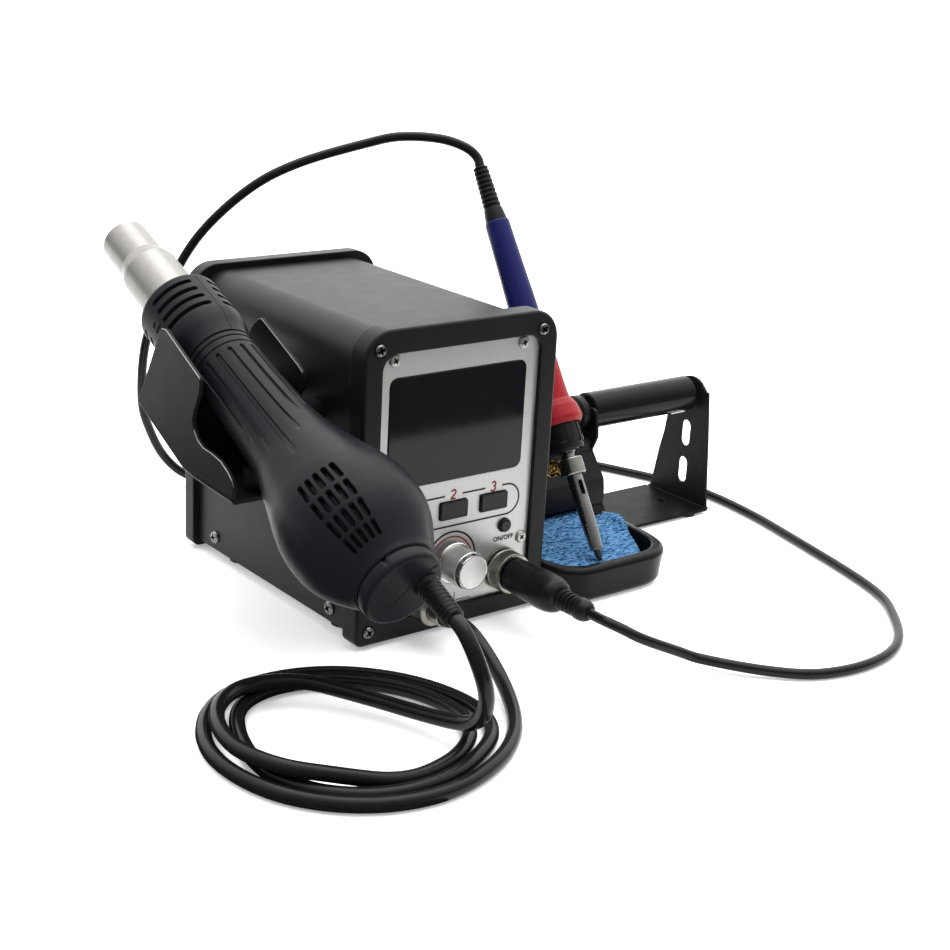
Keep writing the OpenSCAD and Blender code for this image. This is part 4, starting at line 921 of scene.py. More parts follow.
GUN_OUT = [(55.5, 18.2), (57, 19.0), (80, 19.0), (84, 18.6), (90, 17.0), (94, 16.25), (98, 16.1), (120, 16.2), (131, 16.5), (142, 17.0), (153, 18.0), (163, 19.6), (173, 22.3), (183, 25.3), (193, 28.2), (200, 29.5), (206, 29.9), (211, 29.7), (215, 29.1), (222, 26.8), (227, 24.2), (232, 21.2), (236, 18.9), (239, 17.9)]
_gt = np.array([p[0] for p in GUN_OUT])
_gr = np.array([p[1] for p in GUN_OUT])


def _pchip(x, xs, ys):
    # monotone cubic through the outline points
    h = np.diff(xs)
    d = np.diff(ys) / h
    m = np.zeros(len(xs))
    m[1:-1] = [0 if d[i - 1] * d[i] <= 0 else 3 * (h[i - 1] + h[i]) / ((2 * h[i] + h[i - 1]) / d[i - 1] + (h[i] + 2 * h[i - 1]) / d[i]) for i in range(1, len(xs) - 1)]
    m[0], m[-1] = d[0], d[-1]
    i = int(np.clip(np.searchsorted(xs, x) - 1, 0, len(xs) - 2))
    s = (x - xs[i]) / h[i]
    return ((1 + 2 * s) * (1 - s) ** 2 * ys[i] + s * (1 - s) ** 2 * h[i] * m[i] + s * s * (3 - 2 * s) * ys[i + 1] + s * s * (s - 1) * h[i] * m[i + 1])


_rc = {}


def gun_r(t):
    k = round(t, 3)
    if k not in _rc:
        _rc[k] = float(_pchip(t, _gt, _gr))
    return _rc[k]


def capsule(u, v, u0, u1, v0, v1, r):
    """Signed distance to a rounded box in the unrolled surface."""
    cu, cv = (u0 + u1) / 2, (v0 + v1) / 2
    hu, hv = max((u1 - u0) / 2 - r, 0), max((v1 - v0) / 2 - r, 0)
    du, dv = abs(u - cu) - hu, abs(v - cv) - hv
    return math.hypot(max(du, 0), max(dv, 0)) + min(max(du, dv), 0) - r


def smooth01(x):
    x = min(max(x, 0.0), 1.0)
    return x * x * (3 - 2 * x)


def adiff(a, b):
    return (a - b + 180) % 360 - 180


HEAD_SLOTS = [(61, 94, 156), (66.5, 93, 157.5), (72, 91.5, 159), (77.5, 90, 160)]
HEAD_SLOTS2 = [(61, 16, 68), (66.5, 16, 69), (72, 16, 70), (77.5, 16, 71)]
R0 = 19.0


def head_radius(t, a):
    r = gun_r(t)
    dk = 0
    am = a % 360
    for base in (0, 180):
        for t0, a0, a1 in HEAD_SLOTS + HEAD_SLOTS2:
            if abs(t - t0) > 2.5:
                continue
            mid, half = (a0 + a1) / 2 + base, (a1 - a0) / 2
            u = math.radians(adiff(am, mid)) * R0
            L = math.radians(half) * R0
            s = capsule(t, u, t0 - 1.0, t0 + 1.0, -L, L, 0.98)
            k = smooth01((0.18 - s) / 0.32)
            r -= 2.6 * k
            # painted shade: mark the slot floor for the darker finish
            dk = max(dk, 1 if s < -0.2 else 0)
        # raised square mark
        u = math.radians(adiff(am, 172 + base)) * R0
        s = capsule(t, u, 66.6, 71.4, -2.2, 2.2, 0.5)
        r += 0.4 * smooth01((0.2 - s) / 0.3)
        s2 = capsule(t, u, 67.6, 70.4, -1.2, 1.2, 0.3)
        r -= 0.5 * smooth01((0.15 - s2) / 0.3)
        # seam
        u = math.radians(adiff(am, 82 + base)) * R0
        r -= 0.22 * smooth01((0.22 - abs(u)) / 0.2)
    for tg in (94.6,):
        r -= 0.5 * smooth01((0.45 - abs(t - tg)) / 0.4)
    return r, 0.0, dk


def lines(lo, hi, coarse, dense):
    """Sample lines from lo to hi; dense is a list of (a, b, step)."""
    out = set()
    x = lo
    while x < hi - 1e-6:
        step = coarse
        for a, b, s in dense:
            if a <= x < b:
                step = min(step, s)
        nx = x + step
        for a, b, s in dense:
            if x < a < nx and a - x > 1e-3:
                nx = a
        out.add(round(x, 4))
        x = nx
    out.add(round(hi, 4))
    return sorted(out)


fine = 1.0
tl = [55.5, 55.55, 55.7, 55.95, 56.3, 56.7, 57.1] + [x for x in lines(57.4, 95.0, 0.9, [(59, 80, 0.2 * fine), (94, 95, 0.12)])]
dense_a = []
for base in (0, 180):
    dense_a += [(12 + base, 20 + base, 0.6 * fine), (64 + base, 98 + base, 0.6 * fine), (152 + base, 180 + base, 0.6 * fine)]
al = lines(0, 360, 1.8, dense_a)[:-1]


def head_r2(t, a):
    r, dt, dk = head_radius(max(t, 57.5), a) if t < 57.5 else head_radius(t, a)
    if t < 57.4:
        # rounded front rim
        s = (57.4 - t) / 1.9
        r = 19.0 - 1.0 * (1 - math.sqrt(max(0.0, 1 - min(s, 1.0) ** 2)))
    return r, dt, dk


surf_grid("head_shell", tl, al, head_r2, [gun_m, slot_floor_shade], "gun", replaces=("gun_head",), closed_a=True)
lathe("head_front", [(13.05, 57.6), (13.05, 55.9), (13.4, 55.5), (18.0, 55.5)], gun_m, "gun", G, seg=128, fr=0.3)

GROOVES = [(68, 148.5), (88, 153.5), (109, 165.5), (130, 177.5), (151, 165), (168, 151.5)]
VENT_T = [(196, 205), (207, 215), (217, 224.3), (225.6, 231.3)]
VENT_A = [114.5, 122.2, 130, 137.7, 145.5]


def grip_radius(t, a):
    r = gun_r(t)
    dk = 0
    am = a % 360
    for tg, w, d in ((98, 0.55, 0.55), (102, 0.5, 0.5)):
        r -= d * smooth01((w - abs(t - tg)) / 0.35)
    if 103.5 < t < 179:
        for base in (0, 180):
            for ga, t1 in GROOVES:
                u = math.radians(adiff(am, ga + base)) * 16.6
                if abs(u) > 2.6:
                    continue
                s = capsule(t, u, 105, t1, -0.85, 0.85, 0.85)
                fade = smooth01((t1 - t) / 14.0) * 0.65 + 0.35
                r -= 1.0 * fade * smooth01((0.25 - s) / 0.5)
    if 194 < t < 233:
        rr = 28.5
        for base in (0, 180):
            for va in VENT_A:
                u = math.radians(adiff(am, va + base)) * rr
                if abs(u) > 3:
                    continue
                for t0, t1 in VENT_T:
                    s = capsule(t, u, t0, t1, -0.98, 0.98, 0.93)
                    r -= 0.6 * smooth01((0.26 - s) / 0.24) + 2.4 * smooth01((0.02 - s) / 0.2)
                    # painted shade: mark the vent floor for the darker finish
                    if s < 0.03:
                        dk = 1
    return r, 0.0, dk


def shell_half(name, a0, node):
    b = a0
    dense = []
    for base in (0, 180):
        for ga, _ in GROOVES:
            dense.append((ga + base - 5, ga + base + 5, 0.55 * fine))
        dense.append((110.5 + base, 149.5 + base, 0.3 * fine))
    dense += [(x + 360, y + 360, s) for x, y, s in dense]
    al = lines(b, b + 180, 2.0, dense)
    tl = [94.9, 95.0, 95.2, 95.5, 96.0] + lines(96.5, 238.6, 1.6, [(97, 103.2, 0.15 * fine), (103.8, 106.5, 0.3), (146, 180, 1.0), (195, 232, 0.2 * fine), (236, 238.6, 0.3)])

    def rad(t, a):
        r, dt, dk = grip_radius(t, a)
        if t < 95.5:
            r -= 0.5 * (95.5 - t) / 0.6
        # fine joint line where the halves meet
        for e in (b, b + 180):
            u = abs(math.radians(adiff(a, e)) * r)
            r -= 0.14 * smooth01((0.3 - u) / 0.3)
        if t > 238.0:
            r -= 0.45 * ((t - 238.0) / 0.6) ** 2
        return r, dt, dk

    return surf_grid(name, tl, al, rad, [gun_m, slot_floor_shade], "gun", replaces=(node,))


shell_half("shell_near", 40, "grip_shell_near")
shell_half("shell_far", 220, "grip_shell_far")


def tail_cap():
    """Round end with a wavy joint line across it and a soft rim."""
    prof = [(17.0, 238.2), (17.2, 238.6), (17.5, 239.1), (17.6, 239.8), (17.6, 242.6), (17.45, 243.4), (17.1, 244.1), (16.6, 244.55), (16.0, 244.8)]
    rs = [p for p in prof]
    k = 15.6
    while k > 0.3:
        rs.append((k, 244.8 + 0.35 * (1 - (k / 16.0) ** 2)))
        k -= 0.3
    rs.append((0.15, 245.15))
    seg = 300
    bm = bmesh.new()
    rings = []
    ca = math.radians(40)
    for r, t in rs:
        ring = []
        for j in range(seg):
            a = 2 * math.pi * j / seg
            x, y = r * math.cos(a), r * math.sin(a)
            # along and across the joint line
            p = x * math.cos(ca) + y * math.sin(ca)
            q = -x * math.sin(ca) + y * math.cos(ca)
            wave = 1.5 * math.sin(p / 16.0 * math.pi)
            if abs(p - 9) < 1.3:
                wave += 0.6 * math.cos((p - 9) / 1.3 * math.pi / 2)
            dd = abs(q - wave)
            dep = 0.35 * smooth01((0.45 - dd) / 0.4)
            # small notch at the rim
            nd = abs(math.radians(adiff(math.degrees(a), 128)) * 17.6)
            if t < 240.4:
                dep += 0.9 * smooth01((1.0 - nd) / 0.6) * smooth01((240.4 - t) / 0.8)
            if r > 15.9:
                ring.append(((r - dep) * math.cos(a), (r - dep) * math.sin(a), t))
            else:
                ring.append((x, y, t - dep))
        rings.append(ring)
    loft(bm, rings)
    return make("tail_end", bm, gun_m, "gun", G, angle=50, replaces=("gun_tail_cap",), weighted=False)


tail_cap()

lathe("air_tube", [(9.9, 13), (9.9, 0.3), (10.1, 0.0), (10.7, 0.0), (10.9, 0.3), (10.9, 19.8), (11.6, 21.6), (12.4, 24.4), (12.95, 26.4), (13.0, 58.0)], steel, "gun", G, seg=144, fr=[0, .1, .1, .1, .1, .8, 1.2, 1.2, 1.0, 0], fseg=4, replaces=("nozzle_tube", "heater_tube"))

# ------------------------------------------------------------------ cradle
WL = [(72.5, 133.8, .8), (71.1, 135.3, .8), (67.5, 135.6, 1), (38.7, 121.6, 2.2), (38.3, 118.8, 2), (38.7, 115.2, 2), (40.7, 110.8, 3), (42.8, 106.8, 4), (44.5, 102, 4), (43.4, 98, 4), (40.3, 94.5, 3), (36.1, 92.6, 3), (28.7, 92.1, 4), (21.3, 90.8, 4), (15.6, 87.8, 3), (12.4, 85.3, 2.5), (10.8, 82.3, 2), (11.6, 78.2, 2), (12.6, 76.4, .8), (31.1, 77.2, 0), (43.5, 78.1, 2), (53.3, 79.7, 2), (74.0, 88.9, 0), (92.8, 98.6, .8), (83, 115, 2)]
WR = [(69.1, 135, 1), (66.6, 135.9, 1), (36.5, 122.1, 2.2), (32.9, 119.8, 2), (32, 116.4, 2), (33.4, 111.7, 3), (35.1, 109.6, 3), (36.5, 104, 4), (35, 98, 4), (30, 94, 3), (21.3, 91, 4), (15.6, 87.8, 3), (12.4, 85.3, 2.5), (10.8, 82.3, 2), (11.6, 78.2, 2), (12.6, 76.4, .8), (31.1, 77.2, 0), (43.5, 78.1, 2), (53.3, 79.7, 2), (74.0, 88.9, 0), (92.8, 98.6, .8), (83, 113, 2), (75.3, 129.4, 2), (72.3, 132.3, 2)]
cradle_black = MT("cradle_black", color=(0.0084, 0.0086, 0.0101), rough=0.42, rvar=0.03, var=0.05, vscale=700, bump=0.3, bscale=1400, bdist=0.00005, spec=0.095)
# painted shade: a darker copy of the cradle finish for the right wing's inner face
cradle_painted_shade = MT("cradle_painted_shade", color=(0.0058, 0.006, 0.0073), rough=0.42, rvar=0.03, var=0.05, vscale=700, bump=0.3, bscale=1400, bdist=0.00005, spec=0.08)
# painted highlight: light grey finishes for the up-facing edge bevels of the wings, brighter on the left wing, dimmer
# on the right
edge_painted_highlight = MT("edge_painted_highlight", color=(0.13, 0.13, 0.135), rough=0.35, rvar=0.03, var=0.05, vscale=700, bump=0.1, bscale=1400, bdist=0.00003, spec=1.0)
edge_painted_highlight_dim = MT("edge_painted_highlight_dim", color=(0.045, 0.045, 0.048), rough=0.35, rvar=0.03, var=0.05, vscale=700, bump=0.1, bscale=1400, bdist=0.00003, spec=0.8)
plate("wing_left", round_poly(WL), [], 2.0, cradle_black, "station", FYZ(-108), bevel=0.45, replaces=("gun_cradle",), edge=edge_painted_highlight)
plate("wing_right", round_poly(WR), [circle(40, 100, 2.05, 24), circle(62, 106, 2.05, 24)], 2.0, cradle_painted_shade, "station", FYZ(-62), bevel=0.4, edge=edge_painted_highlight_dim)


def cradle_floor():
    bot = round_poly([(12.2, 74.5, 0), (12.2, 74.4, 0), (43.7, 76.0, 6), (53.8, 77.6, 6), (94.0, 96.5, 0), (94.0, 96.6, 0)])[1:-1]
    n = len(bot)
    rings = []
    R = 2.3
    for i in range(n):
        a = Vector(bot[max(i - 1, 0)])
        b = Vector(bot[min(i + 1, n - 1)])
        t = (b - a).normalized()
        nn = Vector((-t.y, t.x))
        p = Vector(bot[i])

        def at(x, d):
            q = p + nn * d
            return (x, q.x, q.y)

        ring = []
        for k in range(7):
            c = math.radians(180 + 15 * k)
            ring.append(at(-108 + R + R * math.cos(c), R + R * math.sin(c)))
        for k in range(7):
            c = math.radians(270 + 15 * k)
            ring.append(at(-60 - R + R * math.cos(c), R + R * math.sin(c)))
        ring.append(at(-60, R + 0.4))
        ring.append(at(-62, R + 0.4))
        ring.append(at(-62.4, 2.0))
        ring.append(at(-105.6, 2.0))
        ring.append(at(-106, R + 0.4))
        ring.append(at(-108, R + 0.4))
        rings.append(ring)
    bm = bmesh.new()
    loft(bm, rings, cap0=True, cap1=True)
    return make("cradle_floor", bm, cradle_black, "station", angle=40)


cradle_floor()


def saddle(name, y0):
    """Upright rib across the channel with a hollow for the gun."""
    pts = []
    front = y0 < 40
    cap = 87 if front else 118
    low = 75.6 if front else 81.2
    xa, xb = (-98, -70) if front else (-106, -65.2)
    for k in range(41):
        x = xa + (xb - xa) * k / 40
        best = low + 0.5
        for zi in np.linspace(low + 0.5, cap, 200):
            yy = (y0 - 150.3) * (-math.sin(TILT)) + (zi - 156.1) * math.cos(TILT)
            tt = -(y0 - 150.3) * math.cos(TILT) - (zi - 156.1) * math.sin(TILT)
            rr = gun_r(min(max(tt, 57.5), 238)) + 0.3
            if yy > -4 or math.hypot(x + 84, yy) < rr:
                break
            best = zi
        pts.append((x, best))
    out = [(xa, low)] + [(x, z) for x, z in pts] + [(xb, low)]
    return plate(name, out, [], 2.0, cradle_black, "station", FXZ(y0), bevel=0.3)


saddle("saddle_rear", 60)
saddle("saddle_front", 18)
for k, (yy, zz) in enumerate(((40, 100), (62, 106))):
    lathe("cradle_spacer_%d" % (k + 1), [(2.1, 0), (5, 0), (5, 10.7), (2.1, 10.7)], cradle_black, "station", LX(-60, yy, zz, 1), seg=40, fr=0.3)

# ------------------------------------------------------------------ iron
def boot(name, pre, t0, pitch, count, r0, r1, depth, post, local, body, replaces, seg=72, half=58, turn=0.0, same=False):
    """Flexible relief: a slim cylinder with windows cut from alternating sides."""
    pr = fillet(pre, 0.25, 3)
    rows = [(r, t, 0, 0.0) for r, t in pr]
    span = pitch * count
    for k in range(count):
        for u in (0.0, 0.12, 0.2, 0.28, 0.36, 0.5, 0.64, 0.72, 0.8, 0.88):
            t = t0 + (k + u) * pitch
            cut = smooth01((u - 0.16) / 0.16) * smooth01((0.84 - u) / 0.16)
            rows.append((r0 + (r1 - r0) * (t - t0) / span, t, k, cut))
    rows += [(r, t, 0, 0.0) for r, t in fillet(post, 0.25, 3)]
    bm = bmesh.new()
    rings = []
    for r, t, k, cut in rows:
        ring = []
        for j in range(seg):
            a = 360.0 * j / seg
            w = 0.0
            for side in (0, 180):
                w = max(w, smooth01((half + 6 - abs(adiff(a, turn + (0 if same else 90 * (k % 2)) + side))) / 10))
            if same:
                w = 0.3 + 0.7 * w
            q = max(r - depth * cut * w, 0.0)
            ring.append((q * math.cos(math.radians(a)), q * math.sin(math.radians(a)), t))
        rings.append(ring)
    loft(bm, rings)
    bmesh.ops.remove_doubles(bm, verts=bm.verts, dist=1e-4)
    return make(name, bm, rubber, body, local, angle=40, replaces=replaces)


boot("gun_boot", [(0, 244.4), (5.4, 244.4), (5.5, 245.4), (5.1, 246.4)], 246.6, 2.0, 9, 4.98, 4.4, 0.75, [(4.4, 264.3), (4.2, 264.8), (3.7, 265.0), (0, 265.0)], G @ Matrix.Translation((9.5, 1, 0)), "gun", ("gun_relief",), turn=20, same=True)
lathe("tip_sleeve", [(0, 0.0), (0.7, 0.0), (0.9, 0.2), (1.15, 0.9), (1.95, 4.5), (2.0, 5.7), (0, 5.8)], tip_metal, "iron", I, seg=48, fr=0.15, replaces=("iron_tip",))


def barrel_piece():
    head = fillet([(0, 5.5), (2.55, 5.5), (3.0, 5.62), (3.12, 6.1)], 0.2, 3)
    head += [(3.12 + 0.63 * (1 - (1 - (t - 6.1) / 24.9) ** 2.2), t) for t in [6.1 + 0.83 * k for k in range(1, 30)]]
    head.append((3.75, 31))
    tail = fillet([(3.75, 43), (3.75, 50.9), (3.15, 51.1), (3.1, 51.6), (3.1, 53.6), (3.4, 54.0), (4.0, 54.3), (4.0, 55)], 0.15, 2)
    allp = head + [(3.75, 31.6 + 0.22 * k) for k in range(49)] + tail
    bm = bmesh.new()
    rings = []
    seg = 240
    for r, t in allp:
        ring = []
        for j in range(seg):
            a = 2 * math.pi * j / seg
            rr = r
            # vent slot seen from the front left
            u = math.radians(adiff(math.degrees(a), 262)) * 3.75
            s = capsule(t, u, 32.9, 40.0, -1.1, 1.1, 1.05)
            if r > 3.7 and 31 < t < 43:
                rr -= 2.4 * smooth01((0.08 - s) / 0.18)
            ring.append((rr * math.cos(a), rr * math.sin(a), t))
        rings.append(ring)
    loft(bm, rings)
    # painted shade: the floor of the vent slot takes the darker slot finish
    for f in bm.faces:
        c = f.calc_center_median()
        if 32.6 < c.z < 40.6 and math.hypot(c.x, c.y) < 3.3:
            f.material_index = 1
    bmesh.ops.remove_doubles(bm, verts=bm.verts, dist=1e-4)
    return make("barrel_sleeve", bm, [iron_metal, slot_floor_shade], "iron", I, angle=40, replaces=("iron_barrel",), weighted=False)


barrel_piece()
lathe("barrel_nut", [(3.78, 43), (5.2, 43), (5.75, 43.25), (6.1, 43.8), (6.1, 50.8), (5.9, 51.3), (5.2, 51.7), (3.78, 51.7)], nickel, "iron", I, fr=0.15, fseg=2, replaces=("iron_nut",), knurl=(43.9, 50.6, 32, 0.55), close=True)
lathe("nose_body", [(0, 54.9), (5.9, 54.9), (6.3, 55.5), (6.4, 56.7), (6.4, 73)], plastic, "iron", I, seg=64, fr=0.3, replaces=("iron_nose",))
lathe("grip_sleeve", [(6.3, 70.4), (9.8, 70.4), (9.85, 68.3), (10.2, 67.8), (10.8, 67.8), (12.0, 69.4), (12.4, 70.4), (12.42, 71.1), (11.35, 76.6), (10.0, 79.2), (9.1, 80.1), (8.8, 83.2), (8.68, 90), (8.6, 101), (8.5, 109.6), (8.2, 111.3), (7.9, 112), (7.2, 112.0)], red_sil, "iron", I, seg=112, fr=[0, .2, .2, .3, .3, .4, .5, .5, .5, .5, 1, 1, 1, 1, .8, .4, .2, 0], fseg=4, replaces=("iron_grip",))
lathe("handle_body", [(7.5, 111), (7.5, 114), (7.35, 124), (7.15, 134), (6.8, 145), (6.4, 160), (6.15, 172), (6.1, 173.3), (5.8, 173.9), (0, 174.0)], blue, "iron", I, seg=80, fr=[0, 1, 2, 2, 2, 2, 1, .3, .3, 0], fseg=4, replaces=("iron_handle",))
boot("iron_boot", [(0, 173.6), (5.3, 173.6), (5.45, 174.2), (5.2, 176.5), (4.85, 179.2), (4.6, 180.5)], 180.5, 2.42, 9, 4.5, 3.75, 0.9, [(3.75, 202.1), (3.55, 202.5), (3.1, 202.6), (0, 202.6)], I, "iron", ("iron_relief",), turn=245, same=True)

# ------------------------------------------------------------------ stand
RU = [(51.6, 3.3, 0), (52.4, 10.1, 2), (53.2, 18.6, 2), (55.1, 41.1, 2), (57.8, 67.1, .5), (59.3, 67.1, .5), (61, 68.7, 1.5), (63.5, 71.2, 1.5), (66.2, 72.8, 1.5), (69.3, 73.5, 2), (72.3, 73.4, 2), (76, 72.4, 2), (79.5, 70, 2), (82.5, 66.5, 2), (84.3, 61, 2), (85.8, 54, 2), (87, 46.9, 2), (88.3, 37.8, 2), (91, 27, 2), (93.4, 13.8, 2), (94.4, 9.3, 1), (95.7, 3.3, 0)]
LU = [(52.6, 1.5, 0), (52.6, 3, 1), (56.4, 10.0, 1), (56.4, 10.6, 1), (49.2, 13.8, .5), (49.0, 15.4, 1), (51.7, 19.6, 1), (51.4, 24.1, 1.5), (51.6, 28, 1.5), (52.4, 33.2, 1.5), (55.2, 36.7, 1.5), (57.8, 39.8, 1.5), (62.4, 45.7, 1.2), (60.6, 49.5, 1.5), (58.7, 53.7, 1.5), (59.3, 59, 1.5), (61, 67.1, 1), (63.5, 68.2, 1), (66.2, 67.6, .5)] + [(72 + 5.8 * math.cos(math.radians(a)), 64 + 5.8 * math.sin(math.radians(a)), 0) for a in range(180, 361, 12)] + [(77.8, 67.6, .5), (81, 67, 1), (84, 62.5, 2), (86, 56, 3), (87, 45, 3), (90, 28, 3), (93, 11, 2), (96.1, 3, 1), (96.1, 1.5, 0)]
plate("upright_right", round_poly(RU), [obround(71.85, 33.45, 48.25, 6.8), obround(71.85, 12.25, 27.05, 6.8), [(85.2, 47.9), (85.2, 50.3), (74.6, 54.9), (73.8, 52.7)], circle(72, 64, 2.05, 24)], 1.6, stand_black, "station", FYZ(214.5), bevel=0.22, replaces=("stand_frame",))
plate("upright_left", round_poly(LU), [], 1.6, stand_black, "station", FYZ(135.7), bevel=0.22)
plate("stand_base", round_poly([(134.8, 50.5, 1), (214.0, 50.5, 0), (214.0, 98, 0), (134.8, 98, .2)]), [circle(201.7, 72.9, 1.8, 32)], 1.6, base_painted_shade, "station", Matrix.Translation((0, 0, 1.4)), bevel=0.22)
plate("stand_base_left", [(60, 60), (134.9, 60), (134.9, 98), (60, 98)], [], 1.6, stand_black, "station", Matrix.Translation((0, 0, 1.4)), bevel=0.22)


def fold(name, x, y0, y1, z, r, sx):
    """Quarter bend of the sheet between base and upright."""
    bm = bmesh.new()
    outer = []
    inner = []
    for k in range(11):
        a = math.radians(-90 + 9 * k)
        outer.append((x + sx * (r * math.cos(a) - r), z + r + r * math.sin(a)))
        inner.append((x + sx * ((r - 1.6) * math.cos(a) - r), z + r + (r - 1.6) * math.sin(a)))
    pr = outer + list(reversed(inner))
    loft(bm, [[(px, y, pz) for px, pz in pr] for y in (y0, y0 + 0.2, y1 - 0.2, y1)], cap0=True, cap1=True)
    return make(name, bm, stand_black, "station", angle=40)


fold("fold_right", 216.1, 50.6, 96.6, 1.4, 2.15, 1)
lathe("roller_body", [(2.06, 134.0), (5.2, 134.0), (5.3, 134.2), (5.3, 138.4), (8.9, 138.5), (9.65, 139.2), (9.65, 210.7), (9.0, 211.4), (5.3, 211.5), (5.3, 213.7), (5.1, 213.9), (2.06, 213.9)], roller_black, "roller", LX(0, 72, 64), seg=112, fr=0.35, replaces=("reel_roller",), close=True)
lathe("roller_collar", [(2.06, 129.6), (8.2, 129.6), (9.1, 130.4), (9.1, 134.0), (8.5, 134.7), (2.06, 134.8)], plastic, "roller", LX(0, 72, 64), seg=96, fr=0.35, close=True)


def chaikin(pts, rounds=3):
    for _ in range(rounds):
        q = []
        m = len(pts)
        for i in range(m):
            a, b = Vector(pts[i]), Vector(pts[(i + 1) % m])
            q += [a.lerp(b, 0.25), a.lerp(b, 0.75)]
        pts = q
    return pts


def inset(pts, d):
    """Moves a closed counter-clockwise outline inward by d."""
    m = len(pts)
    out = []
    for i in range(m):
        t = (Vector(pts[(i + 1) % m]) - Vector(pts[i - 1])).normalized()
        out.append(Vector(pts[i]) + Vector((-t.y, t.x)) * d)
    return out


TRAY_OUT = [(57, 4), (58.5, -3), (62.5, -8.8), (68, -12.5), (74, -13.6), (108, -13.6), (116, -12.6), (122.4, -9.7), (127.4, -4.6), (130.3, 1.6), (132, 10), (132.8, 20), (134, 40), (134, 45.4), (131.4, 48.4), (126.5, 49.4), (126.5, 60), (57, 60)]
TRAY_IN = [(60.5, 9), (61.8, 3), (65, -2.5), (69.5, -6.3), (75, -7.7), (108, -7.7), (113.5, -6.8), (118.2, -4.4), (122.2, -0.4), (124.9, 5), (126.4, 12), (127.4, 22), (128.6, 38), (128.6, 43), (127, 45.6), (124, 46), (124, 57.6), (60.5, 57.6)]
t_out = chaikin(TRAY_OUT)
t_in = chaikin(TRAY_IN)


def tray_piece():
    """Moulded tray with a broad lip and softly rounded walls."""
    bm = bmesh.new()
    rings = []

    def ring(base, o, z):
        rings.append([(p.x, p.y, z) for p in inset(base, o)])

    top = 18.5
    ring(t_out, 8.5, 0.4)
    ring(t_out, 6.6, 0.5)
    for k in range(0, 9):
        a = math.radians(90 - 11.25 * k)
        ring(t_out, 1.3 + 4.2 * (1 - math.cos(a)), 0.55 + 4.2 * (1 - math.sin(a)))
    ring(t_out, 0.85, 9.5)
    ring(t_out, 0.2, 14.9)
    R = 3.0
    for k in range(0, 8):
        a = math.radians(90 * k / 7)
        ring(t_out, R * (1 - math.cos(a)), top - R + R * math.sin(a))
    # flat lip towards the inner edge
    for f in (0.35, 0.7):
        rings.append([(q.x, q.y, top) for q in [a.lerp(b, f) for a, b in zip(inset(t_out, 3.0), inset(t_in, -1.0))]])
    for k in range(0, 6):
        a = math.radians(90 - 18 * k)
        ring(t_in, -1.0 + 1.0 * math.cos(a), top - 1.0 + 1.0 * math.sin(a))
    ring(t_in, 0.15, 14)
    ring(t_in, 0.9, 4.6)
    ring(t_in, 1.9, 3.4)
    ring(t_in, 3.6, 3.2)
    loft(bm, rings, cap0=True, cap1=True)
    return make("tray_body", bm, tray_black, "station", angle=50, replaces=("sponge_tray",))


tray_piece()


def sponge_piece():
    """Cellulose sponge filling the tray, one corner lying on the lip, with torn pits."""
    corners = [(61.8, 10, 2), (63.2, 4, 3), (66.6, -1.6, 3), (70.6, -5.0, 3), (75.5, -6.4, 3), (108.3, -6.6, 1.5), (111.2, -5.0, 1.5), (120.5, 10.5, 2), (131.2, 29.5, 3), (133.6, 34.6, 1.6), (131.2, 38.6, 2), (123.4, 43.6, 2), (123.2, 56.2, .5), (61.8, 56.2, .5)]
    out = round_poly(corners, 6)
    c = Vector((94, 20))
    bm = bmesh.new()
    N = 400
    pts = [Vector(p) for p in out]
    seglen = [(pts[(i + 1) % len(pts)] - pts[i]).length for i in range(len(pts))]
    total = sum(seglen)
    even = []
    i, acc = 0, 0.0
    for k in range(N):
        d = total * k / N
        while acc + seglen[i] < d:
            acc += seglen[i]
            i += 1
        even.append(pts[i].lerp(pts[(i + 1) % len(pts)], (d - acc) / seglen[i]))

    def over(p):
        # how far the point reaches over the lip at the right
        return smooth01((p.x - 121.5) / 7.5) * smooth01((p.y - 13) / 14) * smooth01((50 - p.y) / 9)

    def top_z(p):
        z = 17.25 + 0.15 * math.sin(p.x * 0.11) + 2.6 * over(p)
        z -= 1.5 * math.exp(-((p.x - 85.3) ** 2 + (p.y + 4.6) ** 2) / 9.0)
        return z

    def low_z(p):
        return 3.3 + 15.4 * smooth01(over(p) * 2.4)

    rings = []
    for f in (0.0, 0.3, 0.6, 0.85):
        rings.append([(p.x, p.y, low_z(p) + (top_z(p) - 0.6 - low_z(p)) * f) for p in even])
    for s_ in (0.0, 0.12, 0.3, 0.55):
        q = [p + (c - p).normalized() * s_ for p in even]
        rings.append([(a.x, a.y, top_z(a) - 0.5 + 0.5 * math.sqrt(min(1, s_ / 0.55))) for a in q])
    k = 0.985
    while k > 0.02:
        q = [Vector((c.x + (p.x - c.x) * k, c.y + (p.y - c.y) * k)) for p in even]
        rings.append([(a.x, a.y, top_z(a)) for a in q])
        k -= 0.0105
    loft(bm, rings, cap0=False, cap1=True)
    f = bm.faces.new(list(reversed([v for v in bm.verts][:N])))
    bm.normal_update()
    ca, sa = math.cos(math.radians(38)), math.sin(math.radians(38))
    for v in bm.verts:
        if v.co.z < 4.5:
            continue
        p = v.co
        # pits run slanting across the block
        u = Vector(((p.x * ca - p.y * sa) * 0.42, (p.x * sa + p.y * ca) * 1.35, p.z))
        n1 = noise.noise(Vector((p.x, p.y, p.z)) * 0.14)
        n2 = noise.noise(u * 0.62 + Vector((31, 0, 0)))
        n3 = noise.noise(u * 1.5 + Vector((0, 57, 0)))
        d = 0.16 * n1 + 0.16 * n2 + 0.16 * n3
        if n2 < -0.25:
            d += (n2 + 0.25) * 2.4
        if n3 < -0.32:
            d += (n3 + 0.32) * 1.6
        v.co = p + v.normal * (d - 0.08)
    return make("sponge_block", bm, sponge_m, "station", angle=85, replaces=("sponge",), weighted=False)


sponge_piece()


